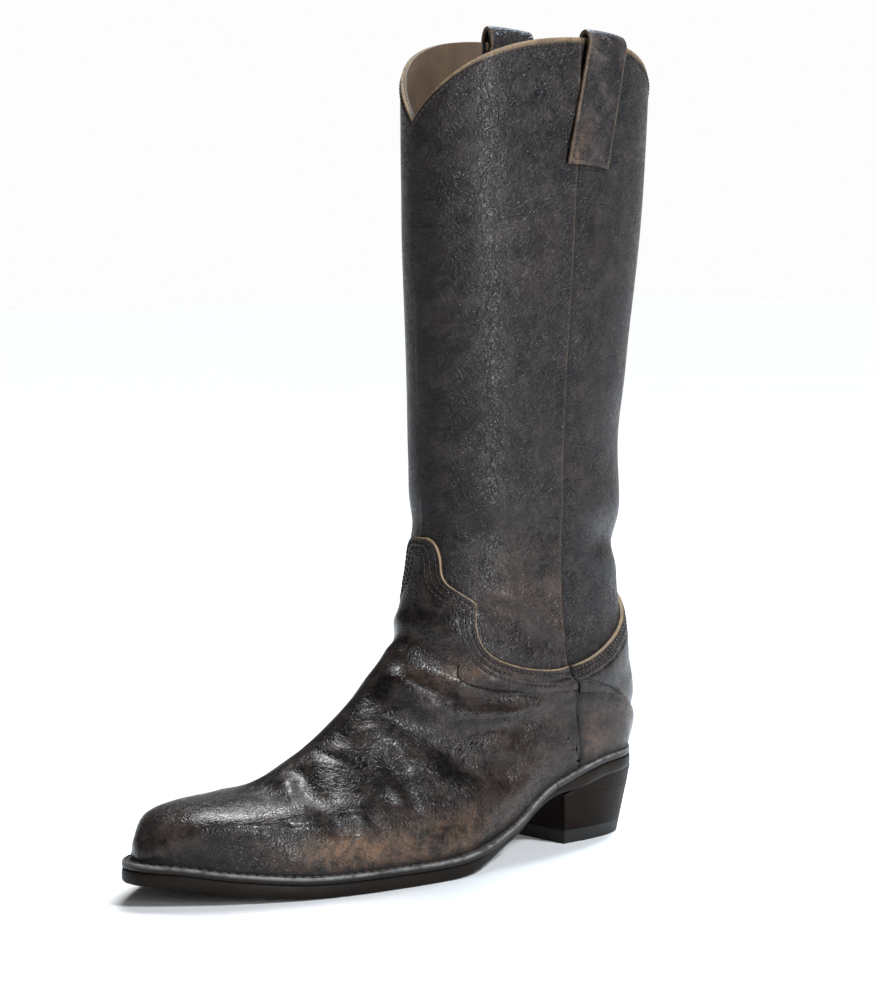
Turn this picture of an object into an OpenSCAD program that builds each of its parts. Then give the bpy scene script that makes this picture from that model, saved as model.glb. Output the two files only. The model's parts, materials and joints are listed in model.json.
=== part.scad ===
// Cowboy boot, left foot. Toe towards -X, outer (lateral) side towards -Y, +Z up, millimetres.
// The outer face of the leather is one pair of quad patches P(u, t), lateral and medial:
// t runs down the leg and along the foot through the stations below, and u runs across each
// half ring, from the front ridge (u = 0) to the back line and then the feather line (u = 1).

/* [Foot] */
// Length of the last, back of heel to toe tip
last_length = 286; // [250:1:320]
// Width of the last across the ball, as a share of the standard width
last_width = 1; // [0.8:0.05:1.2]

/* [Shaft] */
// Height of the scallop's peak above the bottom of the last
shaft_height = 366; // [300:1:440]
// Depth of the front and back notches of the top line
scallop_depth = 39; // [20:1:60]

/* [Leather] */
// Thickness of the outer leather
leather_t = 1.8; // [1.4:0.1:2.4]
// Thickness of the lining leather
lining_t = 1; // [0.8:0.1:1.6]
// Thickness of the toe box and the heel counter
stiffener_t = 1.2; // [0.8:0.1:1.8]
// Gap left between two plies
ply_gap = 0.15; // [0.05:0.05:0.3]
// Diameter of the sewing thread
thread_d = 0.8; // [0.5:0.1:1.2]

/* [Sole] */
// Thickness of the welt
welt_t = 3.5; // [2.5:0.1:5]
// Thickness of the outsole
outsole_t = 6; // [4:0.1:8]
// How far the welt stands out from the upper along the forefoot
welt_reach = 3.5; // [2:0.1:6]
// How far the rand and the outsole stand out round the heel seat
rand_reach = 1.2; // [0.5:0.1:3]
// Thickness of the insole
insole_t = 3; // [2:0.1:4.5]
// Width of the shank
shank_w = 14; // [10:1:20]
// Thickness of the shank
shank_t = 1.5; // [1:0.1:2]

/* [Heel] */
// Distance from the back of the last to the heel's breast, at the ground
heel_breast = 56; // [48:1:66]
// Half width of the heel's breast, at the ground
heel_half_w = 27; // [22:1:32]
// Thickness of the top lift, the piece on the ground
top_lift_t = 6.5; // [5:0.5:9]

/* [Pull straps] */
// Width of a pull strap
strap_w = 26; // [18:1:32]
// Length of a pull strap's outer leg
strap_leg = 58; // [40:1:70]
// Thickness of a pull strap
strap_t = 2; // [1.4:0.1:2.6]

/* [Hidden] */

sole_h = welt_t + outsole_t;
// These place the object's box centrally over the origin: the toe and the shaft's back in X, and
// the two sides of the ball in Y
toe_x = 286.5 * last_length / 286 + welt_reach;
shaft_back_x = 15.2 * last_length / 286;
centre_x = (toe_x - shaft_back_x) / 2;
centre_y = 2.88 * last_width;

// Front ridge at each station: x, height above the bottom of the last, handle length
RIDGE = [
    [-128, 366, 46], [-127, 290, 45], [-124, 205, 43], [-122, 150, 41], [-123, 123, 40],
    [-128, 104, 39], [-136, 91, 37], [-146, 79, 35], [-158, 68, 33], [-172, 57, 31],
    [-188, 47, 29], [-205, 39, 29], [-222, 33, 28], [-240, 31, 27], [-257, 29, 25],
    [-271, 25, 21], [-281, 19, 10], [-285.5, 15, 4], [-286.5, 13, 0]];
// Back line, then feather line: x, height, lateral reach, medial reach, handle length, handle angle
EDGE = [
    [17, 366, 0, 0, 46, 0], [12, 290, 0, 0, 45, 0], [0, 205, 0, 0, 43, 0], [-5, 145, 0, 0, 42, 0],
    [-5, 110, 0, 0, 43, 0], [1, 82, 0, 0, 47, 0], [5, 55, 0, 0, 55, 10], [3, 32.5, 0, 0, 66, 40],
    [-12, 31.5, 24, 24, 52, 66], [-38, 29.5, 31, 31, 44, 85], [-72, 21, 34, 30, 38, 90],
    [-105, 7.5, 42, 28, 36, 90], [-140, 0.5, 49, 34, 32, 90], [-180, 0, 48, 43, 28, 90],
    [-220, 0.5, 41, 42, 24, 90], [-252, 4, 28, 32, 20, 90], [-274, 8, 15, 17, 8, 90],
    [-284, 9.2, 6.5, 7, 3, 90], [-286.5, 9.5, 0, 0, 0, 90]];
STANDARD_LENGTH = 286;
STANDARD_SHAFT = 366;
ANKLE_Z = 104;
CORNER_T = 7;
TOE_T = 18;
SEAM_END_T = 9.4;
// How far round a half ring a side seam runs down the shaft
SEAM_U = 0.505;
// Vamp's top line: share of the way from the front ridge to the side seam, station
VAMP_LINE = [[0, 3.35], [0.17, 3.5], [0.21, 4], [0.31, 4.3], [0.46, 4.6], [0.5, 5.25],
    [0.57, 5.85], [0.67, 6.25], [0.78, 6.4], [0.9, 6.25], [1, 5.95]];
LAP_T = 0.5;

// ---- small helpers ----
function clamp01(v) = min(1, max(0, v));
function ease(v) = let (c = clamp01(v)) c * c * (3 - 2 * c);
function mix(a, b, f) = a + (b - a) * f;
function unit(v) = v / norm(v);
function mirrored(list) = [for (i = [len(list) - 1:-1:1]) -list[i]];
function reversed(list) = [for (i = [len(list) - 1:-1:0]) list[i]];
function blend4(p0, p1, p2, p3, f) =
    0.5 * (2 * p1 + (p2 - p0) * f + (2 * p0 - 5 * p1 + 4 * p2 - p3) * f * f
        + (3 * p1 - p0 - 3 * p2 + p3) * f * f * f);

// ---- the surface ----
// Scales a station's height: the foot keeps its height and the leg above the ankle stretches
function leg_z(z) =
    z <= ANKLE_Z ? z : ANKLE_Z + (z - ANKLE_Z) * (shaft_height - ANKLE_Z) / (STANDARD_SHAFT - ANKLE_Z);
function len_x(x) = x * last_length / STANDARD_LENGTH;

function ridge(t) =
    let (n = len(RIDGE) - 1, i = max(0, min(n - 1, floor(t))), p1 = RIDGE[i], p2 = RIDGE[i + 1],
        p0 = i == 0 ? 2 * p1 - p2 : RIDGE[i - 1], p3 = i == n - 1 ? 2 * p2 - p1 : RIDGE[i + 2],
        r = blend4(p0, p1, p2, p3, t - i))
    [len_x(r[0]), leg_z(r[1]) + sole_h, r[2] * last_width];

// The line turns a corner where the back line meets the feather line, and it runs square across
// the centre plane there and at the toe tip
function edge_raw(t) =
    let (n = len(EDGE) - 1, i = max(0, min(n - 1, floor(t))), p1 = EDGE[i], p2 = EDGE[i + 1],
        flip = [1, 1, -1, -1, 1, 1],
        p0 = i == 0 ? 2 * p1 - p2 : i == CORNER_T ? [for (k = [0:5]) p2[k] * flip[k]] : EDGE[i - 1],
        p3 = i == n - 1 ? [for (k = [0:5]) p1[k] * flip[k]] : i == CORNER_T - 1 ? 2 * p2 - p1 : EDGE[i + 2])
    blend4(p0, p1, p2, p3, t - i);
function edge(t) =
    let (r = edge_raw(t))
    [len_x(r[0]), leg_z(r[1]) + sole_h, max(0, r[2]) * last_width, max(0, r[3]) * last_width,
        r[4], r[5]];

// side is 1 on the lateral half and -1 on the medial half
function surf(u, t, side) =
    let (r = ridge(t), e = edge(t), y = side > 0 ? -e[2] : e[3], v = 1 - u,
        p0 = [r[0], 0, r[1]], p3 = [e[0], y, e[1]],
        p1 = p0 + [0, -side * r[2], 0],
        p2 = p3 + e[4] * [0, -side * cos(e[5]), sin(e[5])])
    v * v * v * p0 + 3 * v * v * u * p1 + 3 * v * u * u * p2 + u * u * u * p3;
function normal(u, t, side) =
    let (du = u > 0.5 ? -0.01 : 0.01, dt = t > 17 || (t > 6.5 && t <= 7) ? -0.02 : 0.02,
        tt = t > 17.9 ? 17.9 : t,
        a = (surf(u + du, tt, side) - surf(u, tt, side)) / du,
        b = (surf(u, tt + dt, side) - surf(u, tt, side)) / dt,
        n = unit(cross(b, a) * side))
    t > 17.9 ? unit([n[0], 0, n[2]]) : n;
function skin(u, t, side, off) = surf(u, t, side) + off * normal(u, t, side);

// ---- where the pieces lie on the surface ----
function seam_u(t) =
    let (s = clamp01((t - 5) / (SEAM_END_T - 5))) SEAM_U + (1 - SEAM_U) * (1 - sqrt(1 - s * s));
// Height of one station at the top of the shaft
station_h = leg_z(366) - leg_z(290);
function rim_t(u) = scallop_depth * pow(abs(2 * u - 1), 2.2) / station_h;
function vamp_t(a) = lookup(abs(a), VAMP_LINE);
function counter_b(w) = 0.57 + 0.065 * pow(1 - w, 2);
function back_t(b, w) = b * mix(SEAM_END_T, CORNER_T, w);
function back_u(b, w) = mix(seam_u(b * SEAM_END_T), 1, w);
function rim_b(w) = rim_t(mix(SEAM_U, 1, w)) / mix(SEAM_END_T, CORNER_T, w);

// a runs from -1 at the medial seam to 1 at the lateral seam or feather line
function front_at(a, t, off) =
    let (gap = 0.016 * clamp01((SEAM_END_T - t) / 0.5), s = a < 0 ? -1 : 1, c = min(abs(a), 1 - gap))
    skin(c * seam_u(t), t, s, off);
// w runs from 1 at the back line to 0 at a side seam, negative on the lateral half
function back_at(side, w, b, off) =
    let (gap = 0.03 * clamp01((1 - b) / 0.05), c = max(w, gap))
    skin(back_u(b, c), back_t(b, c), side, off);

FRONT_A = [0, 0.09, 0.17, 0.21, 0.31, 0.46, 0.5, 0.57, 0.67, 0.78, 0.9, 1];
FRONT_COLUMNS = concat(mirrored(FRONT_A), FRONT_A);
BACK_W = [0, 0.15, 0.3, 0.45, 0.6, 0.75, 0.88, 1];
// [side, w] from the lateral seam round the back to the medial seam
BACK_COLUMNS = concat([for (w = BACK_W) [1, w]], [for (i = [len(BACK_W) - 2:-1:0]) [-1, BACK_W[i]]]);
function steps(n) = [for (i = [0:n]) i / n];

// ---- solids made from two grids of points ----
// The grids hold rows from top to bottom, each from left to right as seen from outside.
// sewn joins the last row's left half to its right half, as at the toe tip.
module grid_solid(outer, inner, sewn = false) {
    n = len(outer) - 1;
    m = len(outer[0]) - 1;
    half = (n + 1) * (m + 1);
    points = concat([for (row = outer) each row], [for (row = inner) each row]);
    function o(i, j) = i * (m + 1) + (sewn && i == n && j > m / 2 ? m - j : j);
    function k(i, j) = half + o(i, j);
    function two(a, b, c, d) = [[a, b, c], [a, c, d]];
    faces = concat(
        [for (i = [0:n - 1], j = [0:m - 1])
            each two(o(i, j), o(i, j + 1), o(i + 1, j + 1), o(i + 1, j))],
        [for (i = [0:n - 1], j = [0:m - 1])
            each two(k(i + 1, j), k(i + 1, j + 1), k(i, j + 1), k(i, j))],
        [for (j = [0:m - 1]) each two(o(0, j + 1), o(0, j), k(0, j), k(0, j + 1))],
        [for (j = [0:m - 1]) if (!sewn) each two(o(n, j), o(n, j + 1), k(n, j + 1), k(n, j))],
        [for (i = [0:n - 1]) each two(o(i, 0), o(i + 1, 0), k(i + 1, 0), k(i, 0))],
        [for (i = [0:n - 1]) each two(o(i + 1, m), o(i, m), k(i, m), k(i + 1, m))]);
    placed() polyhedron(points, faces);
}

// A closed band: rings of equal size, swept from the first to the last
module ring_solid(rings) {
    n = len(rings) - 1;
    m = len(rings[0]);
    placed() polyhedron([for (r = rings) each r], concat(
        [for (i = [0:n - 1], j = [0:m - 1]) let (j2 = (j + 1) % m)
            each [[i * m + j, i * m + j2, (i + 1) * m + j2], [i * m + j, (i + 1) * m + j2, (i + 1) * m + j]]],
        [[for (j = [m - 1:-1:0]) j]], [[for (j = [0:m - 1]) n * m + j]]));
}

// A thread through the points, with up[i] pointing away from the leather at point i
module thread(path, up, d = thread_d) {
    last = len(path) - 1;
    ring_solid([for (i = [0:last]) let (along = unit(path[min(last, i + 1)] - path[max(0, i - 1)]),
        side = unit(cross(along, up[i])), lift = cross(side, along))
        [for (q = [0:90:270]) path[i] + d / 2 * (cos(q) * lift + sin(q) * side)]]);
}

module placed() { translate([centre_x, centre_y, 0]) children(); }

// ---- upper: outside ----
function lap_out(over) = mix(leather_t + ply_gap, 0, ease((over - LAP_T) / 0.35));

module vamp() {
    rows = concat([0, 0.25, LAP_T, LAP_T + 0.18, LAP_T + 0.35], [for (i = [1:15]) -i / 15]);
    // positive rows are stations below the top line, negative ones are shares of the rest
    function t_at(a, r) =
        let (top = vamp_t(a), lap = top + LAP_T + 0.35) r >= 0 ? top + r : mix(lap, TOE_T, -r);
    color("#3a2e2a") grid_solid(
        [for (r = rows) [for (a = FRONT_COLUMNS) let (t = t_at(a, r))
            front_at(a, t, lap_out(t - vamp_t(a)))]],
        [for (r = rows) [for (a = FRONT_COLUMNS) let (t = t_at(a, r))
            front_at(a, t, lap_out(t - vamp_t(a)) - leather_t)]], true);
}

// A sheet over the front half, from the top line to just above the foot of the vamp's lap
module front_sheet(out, thick) {
    function t_at(a, r) = mix(rim_t(abs(a) * SEAM_U), vamp_t(a) + LAP_T - 0.05, r);
    grid_solid([for (r = steps(9)) [for (a = FRONT_COLUMNS) front_at(a, t_at(a, r), out)]],
        [for (r = steps(9)) [for (a = FRONT_COLUMNS) front_at(a, t_at(a, r), out - thick)]]);
}

// A sheet over the back half, between shares b0 and b1 of each column, thick inwards from out(b)
module back_sheet(rows, columns, first, last, sink, thick) {
    function b_at(w, r) = mix(first(w), last(w), r);
    grid_solid(
        [for (r = rows) [for (c = columns) let (b = b_at(c[1], r))
            back_at(c[0], c[1], b, sink(b, c[1]))]],
        [for (r = rows) [for (c = columns) let (b = b_at(c[1], r))
            back_at(c[0], c[1], b, sink(b, c[1]) - thick)]]);
}

module shaft_front() { color("#26282f") front_sheet(0, leather_t); }
module shaft_back() {
    lap_b = (LAP_T - 0.05) / SEAM_END_T;
    color("#37322f") back_sheet(steps(9), BACK_COLUMNS, function(w) rim_b(w),
        function(w) counter_b(w) + lap_b, function(b, w) 0, leather_t);
}
module counter_cover() {
    rows = [0, 0.07, 0.13, 0.17, 0.22, 0.36, 0.5, 0.64, 0.78, 0.9, 1];
    color("#3d302a") back_sheet(rows, BACK_COLUMNS, function(w) counter_b(w), function(w) 1,
        function(b, w) lap_out(SEAM_END_T * (b - counter_b(w))), leather_t);
}

// The strip sewn into a side seam: a thin rib that stands a little proud
module side_welt(side) {
    half = 0.006;
    // the rib's section in shares of a half ring and millimetres out
    section = [[-half, -leather_t], [half, -leather_t], [half * 0.7, 0.7], [-half * 0.7, 0.7]];
    rings = [for (r = steps(22)) let (t = mix(rim_t(SEAM_U) + 0.03, SEAM_END_T - 0.6, r))
        [for (q = side > 0 ? section : reversed(section)) skin(seam_u(t) + q[0], t, side, q[1])]];
    color("#4a3f3c") ring_solid(reversed(rings));
}
module side_welt_lateral() { side_welt(1); }
module side_welt_medial() { side_welt(-1); }

// ---- pull straps ----
strap_low_t = strap_leg / station_h;
// How far round a half ring a strap's middle lies at the top, and how far it leans per station
STRAP_U = 0.585;
STRAP_LEAN = 0.072;
// Millimetres round the shaft for each unit of u, where the straps lie
strap_span = 205 * last_width;
// Gap between a strap's outer leg and the shaft
STRAP_CLEAR = 0.9;
lining_back = leather_t + 2 * ply_gap + lining_t;
function strap_u(t) = STRAP_U - STRAP_LEAN * t;
// Middle line of the strap: outer leg, bend over the top line, inner leg. Each point is
// [stations below the top line, out, up]
function strap_path(rise) =
    let (out = strap_t / 2 + STRAP_CLEAR, in = -lining_back - strap_t / 2 - 0.3, mid = (out + in) / 2,
        r = (out - in) / 2, top = 0.02)
    concat([for (k = steps(6)) [mix(strap_low_t, top, k), out, 0]],
        [for (q = [15:30:165]) [top, mid + r * cos(q), rise * sin(q)]],
        [for (k = steps(5)) [mix(top, strap_low_t * 0.85, k), in, 0]]);
function strap_point(side, across, p) =
    let (u = strap_u(p[0]) + across / strap_span, t = p[0] + rim_t(STRAP_U + across / strap_span))
    skin(u, t, side, p[1]) + [0, 0, p[2]];
module pull_strap(side, rise) {
    path = strap_path(rise);
    last = len(path) - 1;
    function face(shift) = [for (i = [0:last]) let (
        ahead = path[min(last, i + 1)], behind = path[max(0, i - 1)],
        // the section's plane: out against height
        run = unit([ahead[1] - behind[1], (behind[0] - ahead[0]) * station_h + ahead[2] - behind[2]]),
        p = path[i] + shift * [-run[0] / station_h, run[1], 0])
        [for (c = [-1:0.5:1]) strap_point(side, side * c * strap_w / 2, p)]];
    color("#2a2624") grid_solid(face(-strap_t / 2), face(strap_t / 2));
}
module pull_strap_lateral() { pull_strap(1, 4.5); }
module pull_strap_medial() { pull_strap(-1, 8.5); }

// ---- upper: hidden plies ----
toe_start_t = 13.2;
counter_start = 0.7;
function toe_sink(t) = (stiffener_t + ply_gap) * ease((t - toe_start_t) / 0.8);
function heel_sink(b) = (stiffener_t + ply_gap) * ease((b - counter_start + 0.06) / 0.06);
module vamp_lining() {
    out = -leather_t - ply_gap;
    rows = concat(steps(12) * 0.6, [0.68, 0.76, 0.84, 0.92, 1]);
    function t_at(a, r) = mix(vamp_t(a) + LAP_T + 0.05, TOE_T, r);
    color("#b08a5c") grid_solid(
        [for (r = rows) [for (a = FRONT_COLUMNS) let (t = t_at(a, r))
            front_at(a, t, out - toe_sink(t))]],
        [for (r = rows) [for (a = FRONT_COLUMNS) let (t = t_at(a, r))
            front_at(a, t, out - toe_sink(t) - lining_t)]], true);
}
module shaft_lining_front() { color("#b08a5c") front_sheet(-leather_t - ply_gap, lining_t); }
module shaft_lining_back() {
    color("#b08a5c") back_sheet(steps(16), BACK_COLUMNS, function(w) rim_b(w), function(w) 1,
        function(b, w) -leather_t - ply_gap - heel_sink(b), lining_t);
}
module toe_box() {
    rows = [0, 0.2, 0.4, 0.6, 0.8, 1];
    function t_at(a, r) = mix(toe_start_t + 0.9 + 0.5 * a * a, TOE_T, r);
    out = -leather_t - ply_gap / 2;
    color("#c9b48a") grid_solid(
        [for (r = rows) [for (a = FRONT_COLUMNS) front_at(a, t_at(a, r), out)]],
        [for (r = rows) [for (a = FRONT_COLUMNS) front_at(a, t_at(a, r), out - stiffener_t)]], true);
}
module heel_counter() {
    columns = [for (c = BACK_COLUMNS) if (c[1] > 0.1) c];
    out = -leather_t - ply_gap / 2;
    color("#c9b48a") back_sheet(steps(5), columns, function(w) counter_start + 0.12 * (1 - w) * (1 - w),
        function(w) 1, function(b, w) out, stiffener_t);
}

// ---- threads on the upper ----
SEW_A = [for (k = [-20:20]) k / 20.5];
module vamp_stitch() {
    lift = leather_t + ply_gap + thread_d / 2;
    color("#1c1a1a") for (row = [0.12, 0.3]) thread(
        [for (a = SEW_A) front_at(a, vamp_t(a) + row, lift)],
        [for (a = SEW_A) normal(abs(a) * seam_u(vamp_t(a) + row), vamp_t(a) + row, a < 0 ? -1 : 1)]);
}
module counter_stitch() {
    lift = leather_t + ply_gap + thread_d / 2;
    columns = concat([for (w = [0.06:0.1:0.96]) [1, w]], [for (w = [0.96:-0.1:0.06]) [-1, w]]);
    color("#1c1a1a") for (row = [0.014, 0.035]) thread(
        [for (c = columns) back_at(c[0], c[1], counter_b(c[1]) + row, lift)],
        [for (c = columns) let (b = counter_b(c[1]) + row) normal(back_u(b, c[1]), back_t(b, c[1]), c[0])]);
}
// A stitched frame near the foot of each pull strap's outer leg
module strap_stitch() {
    reach = strap_w / 2 - 3;
    out = strap_t + STRAP_CLEAR + thread_d / 2;
    corners = [[-reach, 3], [reach, 3], [reach, 16], [-reach, 16], [-reach, 4]];
    color("#1c1a1a") for (side = [1, -1]) {
        // [across, station]
        path = [for (c = corners) [side * c[0], strap_low_t - c[1] / station_h]];
        thread([for (p = path) strap_point(side, p[0], [p[1], out, 0])],
            [for (p = path) normal(strap_u(p[1]), p[1], side)]);
    }
}
module top_line_stitch() {
    drop = 0.06;
    lift = thread_d / 2;
    color("#1c1a1a") {
        // one run on the front panel and one on the back panel, clear of the pull straps
        thread([for (a = SEW_A) if (abs(a) < 0.92) front_at(a, rim_t(abs(a) * SEAM_U) + drop, lift)],
            [for (a = SEW_A) if (abs(a) < 0.92) normal(abs(a) * SEAM_U, 0.5, a < 0 ? -1 : 1)]);
        columns = concat([for (w = [0.45:0.08:0.93]) [1, w]], [for (w = [0.93:-0.08:0.45]) [-1, w]]);
        thread([for (c = columns) back_at(c[0], c[1], rim_b(c[1]) + drop / 8, lift)],
            [for (c = columns) normal(mix(SEAM_U, 1, c[1]), 0.5, c[0])]);
    }
}

// ---- bottom: plan outline and side profile ----
// A point of the feather line in plan, moved outwards by d
function plan_point(t, side, d) =
    let (step = t > 17.5 ? -0.01 : 0.01, e = edge(t), f = edge(t + step), y = side > 0 ? 2 : 3,
        along = unit([f[0] - e[0], -side * (f[y] - e[y])]) * sign(step))
    [e[0] - side * along[1] * d, -side * e[y] + side * along[0] * d];
// Reach of a layer: heel round the heel seat, and fore from the ball forwards
function reach(t, heel, fore) = mix(heel, fore, ease((t - 10) / 2));
EDGE_STEPS = [for (k = [0:44]) CORNER_T + k / 4];
function outline(heel, fore) = concat(
    [for (t = EDGE_STEPS) plan_point(t, 1, reach(t, heel, fore))],
    [for (i = [len(EDGE_STEPS) - 2:-1:1]) plan_point(EDGE_STEPS[i], -1, reach(EDGE_STEPS[i], heel, fore))]);
// An outline far inside the edge, cut square short of the heel's back and the toe tip
CORE_STEPS = [for (k = [0:32]) CORNER_T + 1 + k / 4];
function core_outline(inset) = concat(
    [for (t = CORE_STEPS) plan_point(t, 1, -inset)],
    [for (t = reversed(CORE_STEPS)) plan_point(t, -1, -inset)]);
// The feather line from the side, moved d below its own slope: [x, height]
function profile_point(t, d) =
    let (e = edge(t), f = edge(t - 0.02), along = unit([e[0] - f[0], e[1] - f[1]]))
    [e[0], e[1]] + d * [-along[1], along[0]];
PROFILE_T = concat([7.5], [for (t = [8:0.5:18]) t]);
function profile(d) =
    let (line = [for (t = PROFILE_T) profile_point(t, d)], first = line[0], last = line[len(line) - 1])
    concat([[first[0] + 30, first[1]]], line, [[last[0] - 20, last[1] + 3]]);

// A layer of the bottom: the plan between heel and fore reach, from depth d0 to depth d1
module layer(heel, fore, d0, d1) {
    intersection() {
        linear_extrude(height = 80) polygon(outline(heel, fore));
        side_slab(d0, d1, 140);
    }
}
module core_layer(inset, d0, d1) {
    intersection() {
        linear_extrude(height = 80) polygon(core_outline(inset));
        side_slab(d0, d1, 140);
    }
}
module side_slab(d0, d1, width) {
    translate([0, width / 2, 0]) rotate([90, 0, 0]) linear_extrude(height = width)
        polygon(concat(profile(d0), reversed(profile(d1))));
}
module heel_half(keep_heel) {
    breast = -heel_breast - BREAST_SLOPE;
    translate([keep_heel ? breast : breast - 300, -100, 0]) cube([300, 200, 90]);
}

rib_in = 13;
rib_w = 3;
foot_in = leather_t + stiffener_t + lining_t + 3 * ply_gap + 0.3;
module insole() {
    color("#c8a878") placed() difference() {
        layer(-foot_in, -foot_in, -insole_t, 0);
        pins(ply_gap);
    }
}
module insole_rib() {
    color("#c8a878") placed() intersection() {
        difference() {
            core_layer(rib_in - rib_w, 0, welt_t - ply_gap);
            linear_extrude(height = 90) polygon(core_outline(rib_in));
        }
        heel_half(false);
    }
}
module inseam_thread() {
    lift = thread_d / 2 + ply_gap;
    function at(t, side) =
        let (p = plan_point(t, side, -rib_in + rib_w + lift), e = profile_point(t, welt_t / 2))
        [p[0], p[1], e[1]];
    // one run along each side of the rib
    color("#d8c8a0") for (side = [1, -1]) {
        path = [for (t = [10.2:0.4:16]) at(t, side)];
        thread(path, [for (p = path) [0, 0, 1]]);
    }
}
module cork_filler() {
    color("#a5794a") placed() difference() {
        core_layer(rib_in + ply_gap, ply_gap, welt_t - ply_gap);
        intersection() {
            side_slab(1 - ply_gap, 1 + shank_t + ply_gap, shank_w + 2 * ply_gap);
            shank_span(ply_gap);
        }
        pins(ply_gap);
    }
}
module shank_span(gap) { translate([-150 - gap, -50, 0]) cube([108 + 2 * gap, 100, 60]); }
module shank() {
    color("#8d9094") placed() intersection() {
        side_slab(1, 1 + shank_t, shank_w);
        shank_span(0);
    }
}
module shank_cover() {
    color("#9c7a4c") placed() intersection() {
        side_slab(-insole_t - 0.8 - ply_gap, -insole_t - ply_gap, shank_w + 12);
        shank_span(0);
    }
}
module heel_pad() {
    heel_end = -42 + ply_gap;
    color("#6b4a2e") placed() intersection() {
        layer(-foot_in - 1, -foot_in - 1, -insole_t - 1.2 - ply_gap, -insole_t - ply_gap);
        translate([heel_end, -50, 0]) cube([60, 100, 90]);
    }
}
module welt_ring(d1) {
    difference() {
        layer(rand_reach, welt_reach, ply_gap, d1);
        linear_extrude(height = 90) polygon(core_outline(rib_in - rib_w - thread_d - 2 * ply_gap));
        pins(ply_gap);
    }
}
module welt() {
    color("#57402e") placed() intersection() {
        welt_ring(welt_t - ply_gap);
        heel_half(false);
    }
}
module heel_rand() {
    color("#57402e") placed() intersection() {
        welt_ring(welt_t - ply_gap);
        translate([ply_gap, 0, 0]) heel_half(true);
    }
}
module welt_stitch() {
    stations = [for (t = [10.4:0.25:18]) t];
    function at(t, side) =
        let (p = plan_point(t, side, reach(t, 0, welt_reach - 1.4)), e = profile_point(t, 0))
        [p[0], p[1], e[1] + thread_d / 2];
    path = concat([for (t = stations) at(t, 1)], [for (t = reversed(stations)) if (t < 18) at(t, -1)]);
    color("#cbbf9f") thread(path, [for (p = path) [0, 0, 1]]);
}
module outsole() {
    color("#4a3423") placed() difference() {
        layer(rand_reach, welt_reach, welt_t, sole_h);
        pins(ply_gap);
    }
}

// ---- heel ----
// Height at which the heel's taper is given, and how far its breast leans forward up to there
HEEL_SEAT_Z = 35;
BREAST_SLOPE = 4;
// Outline of the heel at height z, breast straight and back round
function heel_ring(z) =
    let (f = z / HEEL_SEAT_Z, front = -heel_breast - BREAST_SLOPE * f, half = heel_half_w + 3 * f,
        back = mix(-6, 2, f),
        side = [for (q = [0:7.5:90]) [front + (back - front) * pow(sin(q), 0.72), -half * pow(cos(q), 0.72)]])
    concat(side, [for (i = [len(side) - 2:-1:0]) [side[i][0], -side[i][1]]]);
LIFTS = 5;
// The outsole's underside over the heel, back to front reversed: [x, height]
SOLE_UNDER = [for (t = [12:-0.2:8]) profile_point(t, sole_h)];
wedge_z = lookup(-heel_breast - BREAST_SLOPE, SOLE_UNDER) - 1;
lift_t = (wedge_z - top_lift_t) / (LIFTS - 1);
// Lift 1 is the wedge under the heel seat, and lift 5 lies on the top lift
function lift_floor(n) = n == 1 ? wedge_z : top_lift_t + (LIFTS - n) * lift_t;
module heel_lift(n) {
    z0 = lift_floor(n);
    shade = ["#3a2a20", "#33251c", "#3a2a20", "#33251c", "#3a2a20"];
    color(shade[n - 1]) placed() difference() {
        if (n == 1) intersection() {
            translate([0, 0, z0]) linear_extrude(height = 30) polygon(heel_ring(z0 + 4));
            side_slab(sole_h + ply_gap, 60, 140);
        }
        else translate([0, 0, z0]) linear_extrude(height = lift_t - 0.05) polygon(heel_ring(z0 + lift_t / 2));
        pins(ply_gap);
    }
}
module heel_lift_1() { heel_lift(1); }
module heel_lift_2() { heel_lift(2); }
module heel_lift_3() { heel_lift(3); }
module heel_lift_4() { heel_lift(4); }
module heel_lift_5() { heel_lift(5); }
module top_lift() {
    color("#1b1a19") placed() difference() {
        linear_extrude(height = top_lift_t - 0.05) polygon(heel_ring(top_lift_t / 2));
        pins(ply_gap);
    }
}

// ---- nails and pegs ----
// Each spot is a share of the way from the rear nails to the front ones, and of the heel's half width
NAIL_SPOTS = [[1, -0.56], [1, 0.56], [0.46, 0], [0, -0.44], [0, 0.44]];
TOP_SPOTS = [[1, -0.74], [1, 0], [1, 0.74], [0.6, -0.81], [0.6, 0.81], [0.25, -0.74], [0.25, 0.74], [0, 0]];
module at_spot(p, rear, front_in) {
    translate([-mix(rear, heel_breast - front_in, p[0]), p[1] * heel_half_w, 0]) children();
}
nail_r = 1.2;
peg_r = 1;
peg_in = 6.8;
peg_h = 9;
PEG_STATIONS = [for (k = [0:7]) 10.3 + k * 0.28];
// Steel nails that run from inside the boot down into the lifts
module stack_nails(gap) {
    low = lift_floor(LIFTS) + 1;
    for (p = NAIL_SPOTS) at_spot(p, 20, 10) translate([0, 0, low - gap])
        cylinder(h = profile_point(9, -insole_t)[1] - 1.4 - low + gap, r = nail_r + gap, $fn = 16);
}
module lift_nails(gap) {
    for (p = TOP_SPOTS) at_spot(p, 12, 4) translate([0, 0, 0.2 - gap]) {
        cylinder(h = top_lift_t + lift_t * 0.7, r = nail_r * 0.7 + gap, $fn = 16);
        cylinder(h = 1 + gap, r = nail_r * 1.6 + gap, $fn = 16);
    }
}
module pegs(gap) {
    for (t = PEG_STATIONS, side = [1, -1]) {
        p = plan_point(t, side, -peg_in);
        foot = profile_point(t, sole_h)[1] + 1.5;
        // a peg's hole runs on down through the outsole's underside
        below = gap > 0 ? 6 : 0;
        translate([p[0], p[1], foot - gap - below])
            cylinder(h = peg_h + 2 * gap + below, r = peg_r + gap, $fn = 16);
    }
}
module pins(gap) {
    stack_nails(gap);
    lift_nails(gap);
    pegs(gap);
}
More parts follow.
